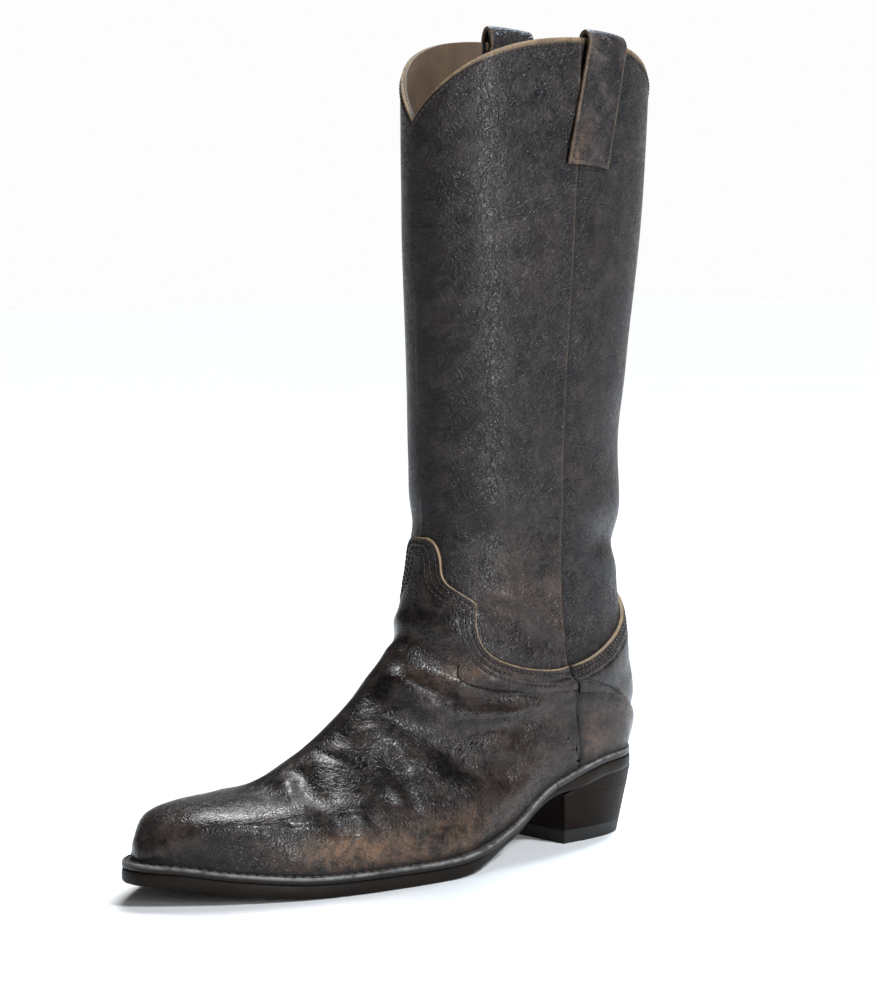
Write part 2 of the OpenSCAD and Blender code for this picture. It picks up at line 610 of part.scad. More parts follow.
module heel_nails() { color("#9aa0a6") placed() stack_nails(0); }
module top_lift_nails() { color("#b08d4a") placed() lift_nails(0); }
module waist_pegs() { color("#d9c08a") placed() pegs(0); }

vamp();
counter_cover();
shaft_front();
shaft_back();
side_welt_lateral();
side_welt_medial();
pull_strap_lateral();
pull_strap_medial();
vamp_lining();
shaft_lining_front();
shaft_lining_back();
toe_box();
heel_counter();
vamp_stitch();
counter_stitch();
strap_stitch();
top_line_stitch();
insole();
insole_rib();
inseam_thread();
cork_filler();
shank();
shank_cover();
heel_pad();
welt();
heel_rand();
welt_stitch();
outsole();
heel_lift_1();
heel_lift_2();
heel_lift_3();
heel_lift_4();
heel_lift_5();
top_lift();
heel_nails();
top_lift_nails();
waist_pegs();
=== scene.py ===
"""Looks of a worn cowboy boot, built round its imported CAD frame. Lengths are in millimetres until
a mesh is made. The leather is the CAD's own surface P(u, t), worked out again on fine grids."""
import json
import bmesh
import bpy
import numpy as np
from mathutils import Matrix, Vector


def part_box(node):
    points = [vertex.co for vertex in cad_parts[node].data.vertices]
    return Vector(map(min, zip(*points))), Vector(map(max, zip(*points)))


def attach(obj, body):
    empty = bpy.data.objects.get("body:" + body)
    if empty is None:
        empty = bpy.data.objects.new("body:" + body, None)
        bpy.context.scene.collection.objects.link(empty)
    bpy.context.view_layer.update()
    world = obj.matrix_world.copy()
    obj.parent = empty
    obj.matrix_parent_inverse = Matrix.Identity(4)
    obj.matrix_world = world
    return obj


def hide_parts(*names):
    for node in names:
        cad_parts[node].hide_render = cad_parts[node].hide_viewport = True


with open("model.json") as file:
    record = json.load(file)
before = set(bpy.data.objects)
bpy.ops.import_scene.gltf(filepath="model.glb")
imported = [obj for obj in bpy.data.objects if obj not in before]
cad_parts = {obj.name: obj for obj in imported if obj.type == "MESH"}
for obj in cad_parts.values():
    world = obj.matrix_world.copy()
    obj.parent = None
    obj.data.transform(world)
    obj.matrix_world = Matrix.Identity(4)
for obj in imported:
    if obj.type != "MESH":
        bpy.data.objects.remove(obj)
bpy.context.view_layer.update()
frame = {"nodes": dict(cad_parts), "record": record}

MM = 0.001

# ---- sizes, as in the CAD ----
LEATHER_T = 1.8
LINING_T = 1.0
STIFFENER_T = 1.2
PLY_GAP = 0.15
WELT_T = 3.5
OUTSOLE_T = 6.0
SOLE_H = WELT_T + OUTSOLE_T
WELT_REACH = 3.5
RAND_REACH = 1.2
SCALLOP_DEPTH = 39
TOP_LIFT_T = 6.5
HEEL_BREAST = 56
HEEL_HALF_W = 27
STRAP_W = 26
STRAP_LEG = 58
STRAP_T = 2
LIFTS = 5

# Front ridge at each station: x, height above the bottom of the last, handle length
RIDGE = np.array([
    [-128, 366, 46], [-127, 290, 45], [-124, 205, 43], [-122, 150, 41], [-123, 123, 40],
    [-128, 104, 39], [-136, 91, 37], [-146, 79, 35], [-158, 68, 33], [-172, 57, 31],
    [-188, 47, 29], [-205, 39, 29], [-222, 33, 28], [-240, 31, 27], [-257, 29, 25],
    [-271, 25, 21], [-281, 19, 10], [-285.5, 15, 4], [-286.5, 13, 0]])
# Back line, then feather line: x, height, lateral reach, medial reach, handle length and angle
EDGE = np.array([
    [17, 366, 0, 0, 46, 0], [12, 290, 0, 0, 45, 0], [0, 205, 0, 0, 43, 0], [-5, 145, 0, 0, 42, 0],
    [-5, 110, 0, 0, 43, 0], [1, 82, 0, 0, 47, 0], [5, 55, 0, 0, 55, 10], [3, 32.5, 0, 0, 66, 40],
    [-12, 31.5, 24, 24, 52, 66], [-38, 29.5, 31, 31, 44, 85], [-72, 21, 34, 30, 38, 90],
    [-105, 7.5, 42, 28, 36, 90], [-140, 0.5, 49, 34, 32, 90], [-180, 0, 48, 43, 28, 90],
    [-220, 0.5, 41, 42, 24, 90], [-252, 4, 28, 32, 20, 90], [-274, 8, 15, 17, 8, 90],
    [-284, 9.2, 6.5, 7, 3, 90], [-286.5, 9.5, 0, 0, 0, 90]])
ACROSS = np.array([1, 1, -1, -1, 1, 1.0])   # mirrors an EDGE row over the centre plane
CORNER_T = 7       # station where the back line meets the feather line
TOE_T = 18
SEAM_U = 0.505     # share of a half ring from the ridge to a side seam, on the shaft
SEAM_END_T = 9.4   # station where a side seam meets the feather line
STATION_H = 76     # height of one station near the top of the shaft
ROUNDED = 0.6      # stations before and after the corner over which its crease is rounded

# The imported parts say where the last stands: the welt's tip and the heel's centre plane
PLACE = np.array([
    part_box("welt")[0].x / MM - RIDGE[-1, 0] + WELT_REACH,
    (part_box("top_lift")[0].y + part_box("top_lift")[1].y) / 2 / MM,
    0.0])


# ---- the leather's surface ----
def clamp01(v):
    return np.clip(v, 0, 1)


def ease(v):
    """Smooth step from 0 to 1: 3v^2 - 2v^3."""
    c = clamp01(v)
    return c * c * (3 - 2 * c)


def mix(a, b, f):
    return a + (b - a) * f


def unit(v):
    return v / (np.linalg.norm(v, axis=-1, keepdims=True) + 1e-12)


def blend4(p0, p1, p2, p3, f):
    """Catmull-Rom blend of four stations at share f between the middle two."""
    return 0.5 * (2 * p1 + (p2 - p0) * f + (2 * p0 - 5 * p1 + 4 * p2 - p3) * f * f
                  + (3 * p1 - p0 - 3 * p2 + p3) * f ** 3)


def ridge(t):
    i = np.clip(np.floor(t).astype(int), 0, len(RIDGE) - 2)
    ends = np.vstack([2 * RIDGE[0] - RIDGE[1], RIDGE, 2 * RIDGE[-1] - RIDGE[-2]])
    return blend4(ends[i], ends[i + 1], ends[i + 2], ends[i + 3], (t - i)[..., None])


def edge(t):
    """The back line, a sharp corner, then the feather line, square across at heel and toe."""
    i = np.clip(np.floor(t).astype(int), 0, len(EDGE) - 2)
    ends = np.vstack([2 * EDGE[0] - EDGE[1], EDGE, EDGE[-2] * ACROSS])
    p0 = np.where((i == CORNER_T)[..., None], EDGE[CORNER_T + 1] * ACROSS, ends[i])
    p3 = np.where((i == CORNER_T - 1)[..., None], 2 * EDGE[CORNER_T] - EDGE[CORNER_T - 1], ends[i + 3])
    row = blend4(p0, ends[i + 1], ends[i + 2], p3, (t - i)[..., None])
    row[..., 2:4] = np.maximum(row[..., 2:4], 0)
    return row


def patch(u, t, side):
    """Cubic Bezier across a half ring, from the ridge (u=0) to the back or feather line (u=1);
    side is 1 on the lateral half and -1 on the medial half."""
    u, t, side = np.broadcast_arrays(*(np.asarray(v, float) for v in (u, t, side)))
    r, e, zero = ridge(t), edge(t), np.zeros_like(u)
    p0 = np.stack([r[..., 0], zero, r[..., 1]], -1)
    p3 = np.stack([e[..., 0], np.where(side > 0, -e[..., 2], e[..., 3]), e[..., 1]], -1)
    p1 = p0 + np.stack([zero, -side * r[..., 2], zero], -1)
    angle = np.radians(e[..., 5])
    p2 = p3 + e[..., 4:5] * np.stack([zero, -side * np.cos(angle), np.sin(angle)], -1)
    u = u[..., None]
    v = 1 - u
    point = v ** 3 * p0 + 3 * v * v * u * p1 + 3 * v * u * u * p2 + u ** 3 * p3
    point[..., 2] += SOLE_H
    return point


def surf(u, t, side):
    """The patch, with the crease that the corner of the back line leaves on its sides rounded off:
    a cubic from one station before the corner to one after it, with the patch's own slopes."""
    u, t, side = np.broadcast_arrays(*(np.asarray(v, float) for v in (u, t, side)))
    point = patch(u, t, side)
    inside = (np.abs(t - CORNER_T) < ROUNDED) & (u < 0.98)
    if not inside.any():
        return point
    u, t, side = u[inside], t[inside], side[inside]
    low, high, step = CORNER_T - ROUNDED, CORNER_T + ROUNDED, 0.05
    first, last = patch(u, low, side), patch(u, high, side)
    run_in = (first - patch(u, low - step, side)) * 2 * ROUNDED / step
    run_out = (patch(u, high + step, side) - last) * 2 * ROUNDED / step
    f = ((t - low) / (high - low))[..., None]
    rounded = (mix(first, last, f * f * (3 - 2 * f)) + f * (1 - f) ** 2 * run_in - f * f * (1 - f) * run_out)
    point[inside] = mix(point[inside], rounded, ease((0.98 - u) / 0.3)[..., None])
    return point


def normal(u, t, side):
    """Outward normal, from differences along u and t; level across the centre plane at the toe."""
    u, t, side = np.broadcast_arrays(*(np.asarray(v, float) for v in (u, t, side)))
    du = np.where(u > 0.5, -0.01, 0.01)
    dt = np.where((t > 17) | ((t > 6.9) & (t <= 7)), -0.02, 0.02)
    at = np.minimum(t, 17.9)
    here = surf(u, at, side)
    a = (surf(u + du, at, side) - here) / du[..., None]
    b = (surf(u, at + dt, side) - here) / dt[..., None]
    n = unit(np.cross(b, a) * side[..., None])
    return np.where((t > 17.9)[..., None], unit(n * np.array([1, 0, 1])), n)


# Folds: height in mm (negative sinks in), width in mm, and a line of (u, t) on each half
FOLDS = [
    (-3.6, 8, [(-0.1, 5.9), (0.08, 6.0), (0.18, 6.3), (0.31, 7.3), (0.46, 8.4)]),
    (3.2, 5, [(-0.1, 7.0), (0.11, 7.4), (0.25, 8.0), (0.36, 8.7), (0.47, 9.2), (0.55, 9.1)]),
    (-2.0, 4.5, [(0.06, 7.9), (0.23, 8.9), (0.45, 10.1), (0.64, 10.6), (0.77, 10.6)]),
    (1.2, 4, [(0.2, 9.3), (0.36, 9.9), (0.5, 10.6)]),
    (-1.6, 2.6, [(-0.1, 10.8), (0.1, 10.9), (0.25, 11.8), (0.41, 12.6), (0.57, 13.1), (0.73, 13.4)]),
    (1.0, 3, [(-0.1, 11.3), (0.1, 11.5), (0.25, 12.3), (0.40, 13.0), (0.5, 13.4)]),
    (-1.0, 2.0, [(0.05, 10.0), (0.24, 10.5), (0.35, 11.1), (0.45, 11.7), (0.6, 12.2)]),
    (-0.8, 1.6, [(0.3, 10.0), (0.42, 10.9), (0.55, 11.6), (0.7, 12.2)]),
    (-0.6, 1.3, [(0.14, 11.4), (0.28, 12.2), (0.38, 12.8)]),
    (-0.5, 1.3, [(0.5, 12.0), (0.62, 12.7), (0.8, 13.0)]),
    (-0.9, 3, [(0.52, 6.9), (0.62, 7.3), (0.75, 7.5)]),
    (-0.9, 2.4, [(0.56, 8.9), (0.66, 9.4), (0.72, 9.9)]),
    (-1.4, 6, [(0.72, 3.3), (0.85, 3.4), (1.1, 3.45)]),
    (-0.8, 9, [(0.8, 2.3), (1.1, 2.35)]),
    (0.8, 8, [(0.62, 2.85), (0.85, 2.9), (1.1, 2.9)]),
    (-1.0, 4, [(0.3, 4.6), (0.38, 4.9), (0.46, 5.3)]),
    (0.9, 4, [(0.36, 4.4), (0.42, 4.9), (0.5, 5.2)]),
    (-0.4, 1.0, [(0.24, 0.42), (0.31, 0.55), (0.36, 0.62), (0.4, 0.78)]),
    (-0.35, 0.9, [(0.36, 0.3), (0.43, 0.38), (0.45, 0.5)]),
    (-0.3, 0.8, [(0.33, 0.7), (0.39, 0.85), (0.42, 1.05)]),
    (-0.7, 6, [(0.05, 3.1), (0.25, 3.25), (0.42, 3.2)]),
    (0.6, 10, [(0.3, 1.2), (0.34, 2.0), (0.3, 2.8)]),
    (-0.5, 8, [(0.42, 1.0), (0.44, 1.8), (0.4, 2.6)]),
]
FOLD_U = 80   # mm round a half ring


def station_mm(t):
    """Rough length of a station along the boot: long on the shaft, short on the foot."""
    return np.interp(t, [0, 3, 5, 6.5], [76, 34, 24, 16])


def fold_distance(u, t, line):
    """Distance in mm from each (u, t) to the nearest point of a line of (u, t)."""
    scale = station_mm(t)
    best = np.full(np.shape(u), 1e9)
    for (u0, t0), (u1, t1) in zip(line[:-1], line[1:]):
        along = np.array([(u1 - u0) * FOLD_U, (t1 - t0)])
        px, py = (u - u0) * FOLD_U, (t - t0) * scale
        ax, ay = along[0], along[1] * scale
        f = clamp01((px * ax + py * ay) / (ax * ax + ay * ay + 1e-9))
        best = np.minimum(best, np.hypot(px - f * ax, py - f * ay))
    return best


def relief(u, t, side):
    """How far folds, creases and slow waves lift the leather, in mm."""
    u, t, side = np.broadcast_arrays(*(np.asarray(v, float) for v in (u, t, side)))
    lift = np.zeros_like(u)
    for height, width, line in FOLDS:
        near = fold_distance(u, t, line)
        lift += height * (np.exp(-(near / width) ** 2) - 0.35 * np.exp(-((near - 2 * width) / width) ** 2))
    wave = np.sin(9 * u + 2.1 * t + 1.3 * side) * np.sin(2.3 * t - 7 * u + 0.7 * side)
    lift += 0.35 * wave * ease(t / 1.5)
    foot = ease((t - 5.4) / 1.0)
    # folds fade out at the toe, at the feather line and over the ridge of the foot
    ridge_folds = np.where(side > 0, ease((u + 0.03) / 0.17), 0.8 * ease((u - 0.28) / 0.25))
    calm = ease((16.2 - t) / 2.5) * ease((1.02 - u) / 0.12 + 3 * (1 - foot))
    calm = calm * (1 - 0.92 * foot * (1 - ridge_folds))
    # the stations lie close together on the quarter, where folds would turn into sharp creases
    calm = calm * (1 - 0.92 * np.exp(-((t - 7.3) / 0.9) ** 2) * ease((u - 0.26) / 0.16))
    # the toe's top is full and its tip is blunt
    puff = 2.2 * np.exp(-((t - 14.6) / 1.4) ** 2) * (1 - ease((u - 0.35) / 0.4))
    blunt = -1.7 * ease((t - 16) / 1.6) * (1 - ease((u - 0.65) / 0.33))
    return lift * calm + puff + blunt


def skin(u, t, side, out):
    out = np.asarray(out, float)[..., None] if np.ndim(out) else out
    return surf(u, t, side) + (relief(u, t, side)[..., None] + out) * normal(u, t, side)


# ---- where the pieces lie on the surface ----
def seam_u(t):
    """Where the side seams lie: upright on the shaft, then a quarter round to the feather line."""
    s = clamp01((t - 5) / (SEAM_END_T - 5))
    return mix(1, SEAM_U, np.sqrt(1 - s * s))


def rim_t(u):
    """Station of the scalloped top line: high at the side seams, low in front and behind."""
    return SCALLOP_DEPTH * np.abs(2 * u - 1) ** 2.2 / STATION_H


# Vamp's top line: (share of the way from the ridge to the side seam, station), a corner at TIP
VAMP_LINE = np.array([
    [0, 3.35], [0.09, 3.36], [0.155, 3.48], [0.19, 3.72], [0.21, 4.02], [0.25, 4.2], [0.31, 4.32],
    [0.39, 4.45], [0.47, 4.6], [0.478, 4.95], [0.5, 5.35], [0.535, 5.7], [0.59, 6.0], [0.67, 6.25],
    [0.78, 6.38], [0.9, 6.25], [1, 5.95]])
TIP = 8   # the VAMP_LINE point that is a sharp corner


def smooth_line(points, per_step=12):
    """Catmull-Rom curve through the points, with phantom ends."""
    ends = np.vstack([2 * points[0] - points[1], points, 2 * points[-1] - points[-2]])
    f = np.arange(per_step)[:, None] / per_step
    parts = [blend4(ends[i], ends[i + 1], ends[i + 2], ends[i + 3], f) for i in range(len(points) - 1)]
    return np.vstack(parts + [points[-1:]])


VAMP_CURVE = np.vstack([smooth_line(VAMP_LINE[:TIP + 1])[:-1], smooth_line(VAMP_LINE[TIP:])])


def vamp_t(a):
    """Station of the vamp's top line."""
    return np.interp(np.abs(a), VAMP_CURVE[:, 0], VAMP_CURVE[:, 1])


def counter_b(w):
    """Share b of the counter cover's top line, arched at the back line."""
    return 0.57 + 0.065 * (1 - w) ** 2


def front_ut(a, t):
    """(u, t, side) of a point of the front half; a is -1 and 1 at the side seams."""
    gap = mix(0.007, 0.003, ease((t - 5.6) / 0.5)) * clamp01((SEAM_END_T - t) / 0.5)
    return np.minimum(np.abs(a), 1 - gap) * seam_u(t), t, np.where(a < 0, -1.0, 1.0)


def back_ut(c, b):
    """(u, t, side) of a point of the back half; c is -1 at the lateral seam, 0 at the back line
    and 1 at the medial seam, and b is 1 on the feather line."""
    w = 1 - np.abs(c)
    w = np.maximum(w, 0.008 * clamp01((1 - b) / 0.05))
    return mix(seam_u(b * SEAM_END_T), 1, w), b * mix(SEAM_END_T, CORNER_T, w), np.where(c < 0, 1.0, -1.0)


def rim_b(c):
    """The top line of the back half, as a share b of back_ut."""
    w = 1 - np.abs(c)
    return rim_t(mix(SEAM_U, 1, w)) / mix(SEAM_END_T, CORNER_T, w)


def front_skin(a, t, out):
    return skin(*front_ut(a, t), out)


def back_skin(c, b, out):
    return skin(*back_ut(c, b), out)


# ---- meshes ----
def new_object(name, points, quads, attributes=(), sharp=50):
    """A mesh object from an (n, 3) array in mm and an (m, 4) array of quads."""
    mesh = bpy.data.meshes.new(name)
    mesh.vertices.add(len(points))
    mesh.vertices.foreach_set("co", ((points + PLACE) * MM).ravel())
    mesh.loops.add(quads.size)
    mesh.loops.foreach_set("vertex_index", quads.ravel().astype(np.int32))
    mesh.polygons.add(len(quads))
    mesh.polygons.foreach_set("loop_start", (np.arange(len(quads)) * 4).astype(np.int32))
    for key, values in dict(attributes).items():
        layer = mesh.attributes.new(key, "FLOAT", "POINT")
        layer.data.foreach_set("value", values.ravel().astype(np.float32))
    mesh.update(calc_edges=True)
    mesh.polygons.foreach_set("use_smooth", np.ones(len(quads), bool))
    mesh.set_sharp_from_angle(angle=np.radians(sharp))
    piece = bpy.data.objects.new(name, mesh)
    bpy.context.scene.collection.objects.link(piece)
    return piece


def close_up(piece):
    """Merges doubled points and drops the faces that this leaves without area."""
    work = bmesh.new()
    work.from_mesh(piece.data)
    bmesh.ops.remove_doubles(work, verts=work.verts, dist=1e-6)
    bmesh.ops.dissolve_degenerate(work, edges=work.edges, dist=1e-7)
    work.to_mesh(piece.data)
    work.free()
    return piece


def sheet(name, outer, inner, sewn=False, **attributes):
    """A closed ply between two (rows, columns, 3) grids, rows downwards and columns rightwards as
    seen from outside. sewn joins the last row's right half to its left half, as at the toe."""
    n, m = outer.shape[0] - 1, outer.shape[1] - 1
    index = np.arange((n + 1) * (m + 1)).reshape(n + 1, m + 1)
    if sewn:
        index[n, m // 2 + 1:] = index[n, :m // 2][::-1]
    under = index + index.size

    def cells(grid):
        return np.stack([grid[:-1, :-1], grid[1:, :-1], grid[1:, 1:], grid[:-1, 1:]], -1).reshape(-1, 4)

    def wall(a, b):
        return np.stack([a[:-1], a[1:], b[1:], b[:-1]], -1)

    quads = [cells(index), cells(under)[:, ::-1], wall(index[0], under[0]),
             wall(index[::-1, 0], under[::-1, 0]), wall(index[:, m], under[:, m])]
    if not sewn:
        quads.append(wall(index[n, ::-1], under[n, ::-1]))
    points = np.vstack([outer.reshape(-1, 3), inner.reshape(-1, 3)])
    values = {k: np.concatenate([v.ravel(), v.ravel()]) for k, v in attributes.items()}
    return new_object(name, points, np.vstack(quads), values)


def tube(name, rings, sharp=40, **attributes):
    """Rings of equal size joined in order, each ring closed, with the two ends filled."""
    n, m = rings.shape[0] - 1, rings.shape[1]
    index = np.arange((n + 1) * m).reshape(n + 1, m)
    nxt = np.roll(index, -1, axis=1)
    quads = np.stack([index[:-1], nxt[:-1], nxt[1:], index[1:]], -1).reshape(-1, 4)
    values = {key: np.broadcast_to(value, rings.shape[:2]) for key, value in attributes.items()}
    piece = new_object(name, rings.reshape(-1, 3), quads, values, sharp=sharp)
    work = bmesh.new()
    work.from_mesh(piece.data)
    bmesh.ops.holes_fill(work, edges=[e for e in work.edges if e.is_boundary])
    bmesh.ops.recalc_face_normals(work, faces=work.faces)
    work.to_mesh(piece.data)
    work.free()
    return piece


def line_distance(points, line, reach=24.0):
    """Distance in mm from each grid point to a densely sampled line, capped at reach."""
    flat = points.reshape(-1, 3)
    out = np.full(len(flat), float(reach))
    for start in range(0, len(flat), 4000):
        part = flat[start:start + 4000]
        gap = np.sqrt(((part[:, None] - line[None]) ** 2).sum(-1).min(1))
        out[start:start + 4000] = np.minimum(gap, reach)
    return out.reshape(points.shape[:-1])


def finish(piece, slot, *nodes):
    """Hangs a piece on the boot's one body, with its slot, its material and the node it replaces."""
    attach(piece, "root")
    if nodes:
        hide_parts(*nodes)
    piece.data.materials.clear()
    piece.data.materials.append(MATERIALS[slot])
    return piece


# ---- materials ----
def nodes_of(name):
    """A new material, its tree, its shader and the object's own coordinates."""
    material = bpy.data.materials.new(name)
    material.use_nodes = True
    tree = material.node_tree
    shader = tree.nodes["Principled BSDF"]
    where = tree.nodes.new("ShaderNodeTexCoord").outputs["Object"]
    return material, tree, shader, where


def noise(tree, where, scale, detail=4, rough=0.55, twist=0.0):
    """A grey noise of so many cells per metre."""
    node = tree.nodes.new("ShaderNodeTexNoise")
    node.inputs["Scale"].default_value = scale
    node.inputs["Detail"].default_value = detail
    node.inputs["Roughness"].default_value = rough
    node.inputs["Distortion"].default_value = twist
    tree.links.new(where, node.inputs["Vector"])
    return node.outputs["Fac"]


def ramp(tree, value, stops):
    """Maps a value through (position, grey or colour) stops."""
    node = tree.nodes.new("ShaderNodeValToRGB")
    bar = node.color_ramp
    while len(bar.elements) < len(stops):
        bar.elements.new(0.5)
    for element, (place, tone) in zip(bar.elements, stops):
        element.position = place
        element.color = (tone, tone, tone, 1) if np.isscalar(tone) else (*tone, 1)
    tree.links.new(value, node.inputs["Fac"])
    return node.outputs["Color"]


def maths(tree, kind, a, b):
    """Joins two values, each a number or a socket."""
    node = tree.nodes.new("ShaderNodeMath")
    node.operation = kind
    for socket, value in zip(node.inputs, (a, b)):
        if isinstance(value, (int, float)):
            socket.default_value = value
        else:
            tree.links.new(value, socket)
    return node.outputs[0]


def tint(tree, amount, a, b):
    """Mixes colour a towards colour b by amount."""
    node = tree.nodes.new("ShaderNodeMix")
    node.data_type = "RGBA"
    for socket, value in ((node.inputs[0], amount), (node.inputs[6], a), (node.inputs[7], b)):
        if isinstance(value, tuple):
            socket.default_value = (*value, 1)
        elif isinstance(value, (int, float)):
            socket.default_value = value
        else:
            tree.links.new(value, socket)
    return node.outputs[2]


def warp(tree, where, scale, amount):
    """Shifts coordinates by a noise, so that cells and cracks wander."""
    node = tree.nodes.new("ShaderNodeTexNoise")
    node.inputs["Scale"].default_value = scale
    node.inputs["Detail"].default_value = 3
    tree.links.new(where, node.inputs["Vector"])
    move = tree.nodes.new("ShaderNodeVectorMath")
    move.operation = "MULTIPLY_ADD"
    move.inputs[1].default_value = (amount,) * 3
    tree.links.new(node.outputs["Color"], move.inputs[0])
    tree.links.new(where, move.inputs[2])
    return move.outputs[0]


def cracks(tree, where, scale, width):
    """1 on the borders of wandering cells, falling to 0 at width into each cell."""
    node = tree.nodes.new("ShaderNodeTexVoronoi")
    node.feature = "DISTANCE_TO_EDGE"
    node.inputs["Scale"].default_value = scale
    tree.links.new(where, node.inputs["Vector"])
    return ramp(tree, node.outputs["Distance"], [(0, 1.0), (width, 0.0)])


def attribute(tree, key):
    """Reads a value that the mesh carries at each of its points."""
    node = tree.nodes.new("ShaderNodeAttribute")
    node.attribute_name = key
    return node.outputs["Fac"]


def bump(tree, shader, *layers):
    """Stacks (height, strength, distance in metres) bumps on the shader's normal."""
    last = None
    for height, strength, distance in layers:
        node = tree.nodes.new("ShaderNodeBump")
        node.inputs["Strength"].default_value = strength
        node.inputs["Distance"].default_value = distance
        tree.links.new(height, node.inputs["Height"])
        if last is not None:
            tree.links.new(last, node.inputs["Normal"])
        last = node.outputs["Normal"]
    tree.links.new(last, shader.inputs["Normal"])


def worn_leather(name, dark, mid, pale, rub, rough, texture):
    """Waxed hide that has cracked all over: dark, mid and pale tones in drifts and scuffs, dark
    cracks between small pillows, some of them polished, brown where it is rubbed (attribute "rub"),
    tan on cut edges and as a painted highlight along the shaft's side seams (attribute "raw"), and
    near black painted shade where parts meet, beside seams and low round the toe (attribute "soil")."""
    material, tree, shader, where = nodes_of(name)
    drift = ramp(tree, noise(tree, where, 13, 7, 0.68, 0.8), [(0.40, 0.0), (0.62, 1.0)])
    colour = tint(tree, drift, dark, mid)
    grime = ramp(tree, noise(tree, warp(tree, where, 40, 0.01), 95, 8, 0.78, 0.4), [(0.46, 0.0), (0.66, 1.0)])
    colour = tint(tree, maths(tree, "MULTIPLY", grime, 0.55), colour, pale)
    rubbed = maths(tree, "MULTIPLY", attribute(tree, "rub"),
                   ramp(tree, noise(tree, where, 70, 8, 0.8, 0.6), [(0.42, 0.0), (0.60, 1.0)]))
    colour = tint(tree, rubbed, colour, rub)
    wander = warp(tree, where, 150, 0.007)
    fine = cracks(tree, wander, 520, 0.10)
    coarse = cracks(tree, warp(tree, where, 70, 0.014), 150, 0.035)
    patch = ramp(tree, noise(tree, where, 30, 5, 0.6), [(0.36, 0.35), (0.56, 1.0)])
    web = maths(tree, "MULTIPLY", maths(tree, "MAXIMUM", maths(tree, "MULTIPLY", fine, 0.75), coarse), patch)
    colour = tint(tree, maths(tree, "MULTIPLY", web, 0.8), colour, CRACK_AND_SHADE)
    scuff = ramp(tree, noise(tree, warp(tree, where, 320, 0.004), 620, 4, 0.75), [(0.60, 0.0), (0.70, 1.0)])
    colour = tint(tree, maths(tree, "MULTIPLY", scuff, 0.4), colour, pale)
    # tan on cut edges, and a painted highlight along the shaft's side seams
    raw = maths(tree, "MULTIPLY", attribute(tree, "raw"),
                ramp(tree, noise(tree, where, 260, 3, 0.6), [(0.3, 0.55), (0.6, 1.0)]))
    colour = tint(tree, raw, colour, RAW_EDGE)
    # painted shade: near black where parts meet, beside seams and low round the toe
    soil = maths(tree, "MULTIPLY", attribute(tree, "soil"),
                 ramp(tree, noise(tree, where, 180, 4, 0.7), [(0.25, 0.6), (0.6, 1.0)]))
    colour = tint(tree, soil, colour, CRACK_AND_SHADE)
    tree.links.new(colour, shader.inputs["Base Color"])
    low, high = rough
    polish = ramp(tree, noise(tree, wander, 420, 5, 0.7), [(0.38, high), (0.62, low)])
    edges_and_shade = maths(tree, "MAXIMUM", raw, soil)
    dull = maths(tree, "MAXIMUM", maths(tree, "MULTIPLY", web, 0.6), maths(tree, "MULTIPLY", edges_and_shade, 0.85))
    tree.links.new(maths(tree, "MAXIMUM", polish, dull), shader.inputs["Roughness"])
    shader.inputs["Specular IOR Level"].default_value = 0.2
    pillow = cracks(tree, wander, 520, 0.42)
    lumps = noise(tree, where, 60, 5, 0.62, 0.4)
    bump(tree, shader, (lumps, 0.4 * texture, 0.0014), (web, 0.6 * texture, -0.0004),
         (pillow, 0.14 * texture, -0.0003), (noise(tree, where, 1600, 3, 0.6), 0.08 * texture, 0.0002))
    return material


def plain_leather(name, dark, pale, rough, streak=None, shine_level=0.4, worn=None):
    """Smooth hide or burnished edge: two tones in a soft noise, streaked along one axis if asked,
    and a third, paler tone where attribute "raw" marks an edge, if given: on the welt's top edge, wear and a
    painted highlight."""
    material, tree, shader, where = nodes_of(name)
    if streak:
        stretch = tree.nodes.new("ShaderNodeMapping")
        stretch.inputs["Scale"].default_value = streak
        tree.links.new(where, stretch.inputs["Vector"])
        lines = noise(tree, stretch.outputs["Vector"], 120, 5, 0.7)
    else:
        lines = noise(tree, where, 60, 5, 0.65, 0.4)
    tone = ramp(tree, lines, [(0.3, 0.0), (0.7, 1.0)])
    blot = ramp(tree, noise(tree, where, 22, 4, 0.6), [(0.35, 0.0), (0.7, 1.0)])
    colour = tint(tree, maths(tree, "MULTIPLY", maths(tree, "ADD", tone, blot), 0.5), dark, pale)
    if worn:
        rubbed = ramp(tree, noise(tree, where, 140, 5, 0.7), [(0.36, 0.25), (0.56, 1.0)])
        colour = tint(tree, maths(tree, "MULTIPLY", attribute(tree, "raw"), rubbed), colour, worn)
    tree.links.new(colour, shader.inputs["Base Color"])
    shader.inputs["Specular IOR Level"].default_value = shine_level
    shine = ramp(tree, noise(tree, where, 70, 4), [(0.3, rough - 0.08), (0.7, rough + 0.1)])
    tree.links.new(shine, shader.inputs["Roughness"])
    bump(tree, shader, (lines, 0.25, 0.0004), (noise(tree, where, 1200, 3), 0.25, 0.00015))
    return material


def grainy(name, dark, pale, rough, scale, metallic=0.0, depth=0.0003):
    """Any other stuff: two tones in a noise of one scale, with a bump to match."""
    material, tree, shader, where = nodes_of(name)
    speck = noise(tree, where, scale, 5, 0.7)
    colour = tint(tree, ramp(tree, speck, [(0.35, 0.0), (0.65, 1.0)]), dark, pale)
    tree.links.new(colour, shader.inputs["Base Color"])
    tree.links.new(ramp(tree, speck, [(0.3, rough - 0.06), (0.7, rough + 0.06)]), shader.inputs["Roughness"])
    shader.inputs["Metallic"].default_value = metallic
    shader.inputs["Specular IOR Level"].default_value = 0.25
    bump(tree, shader, (speck, 0.4, depth))
    return material


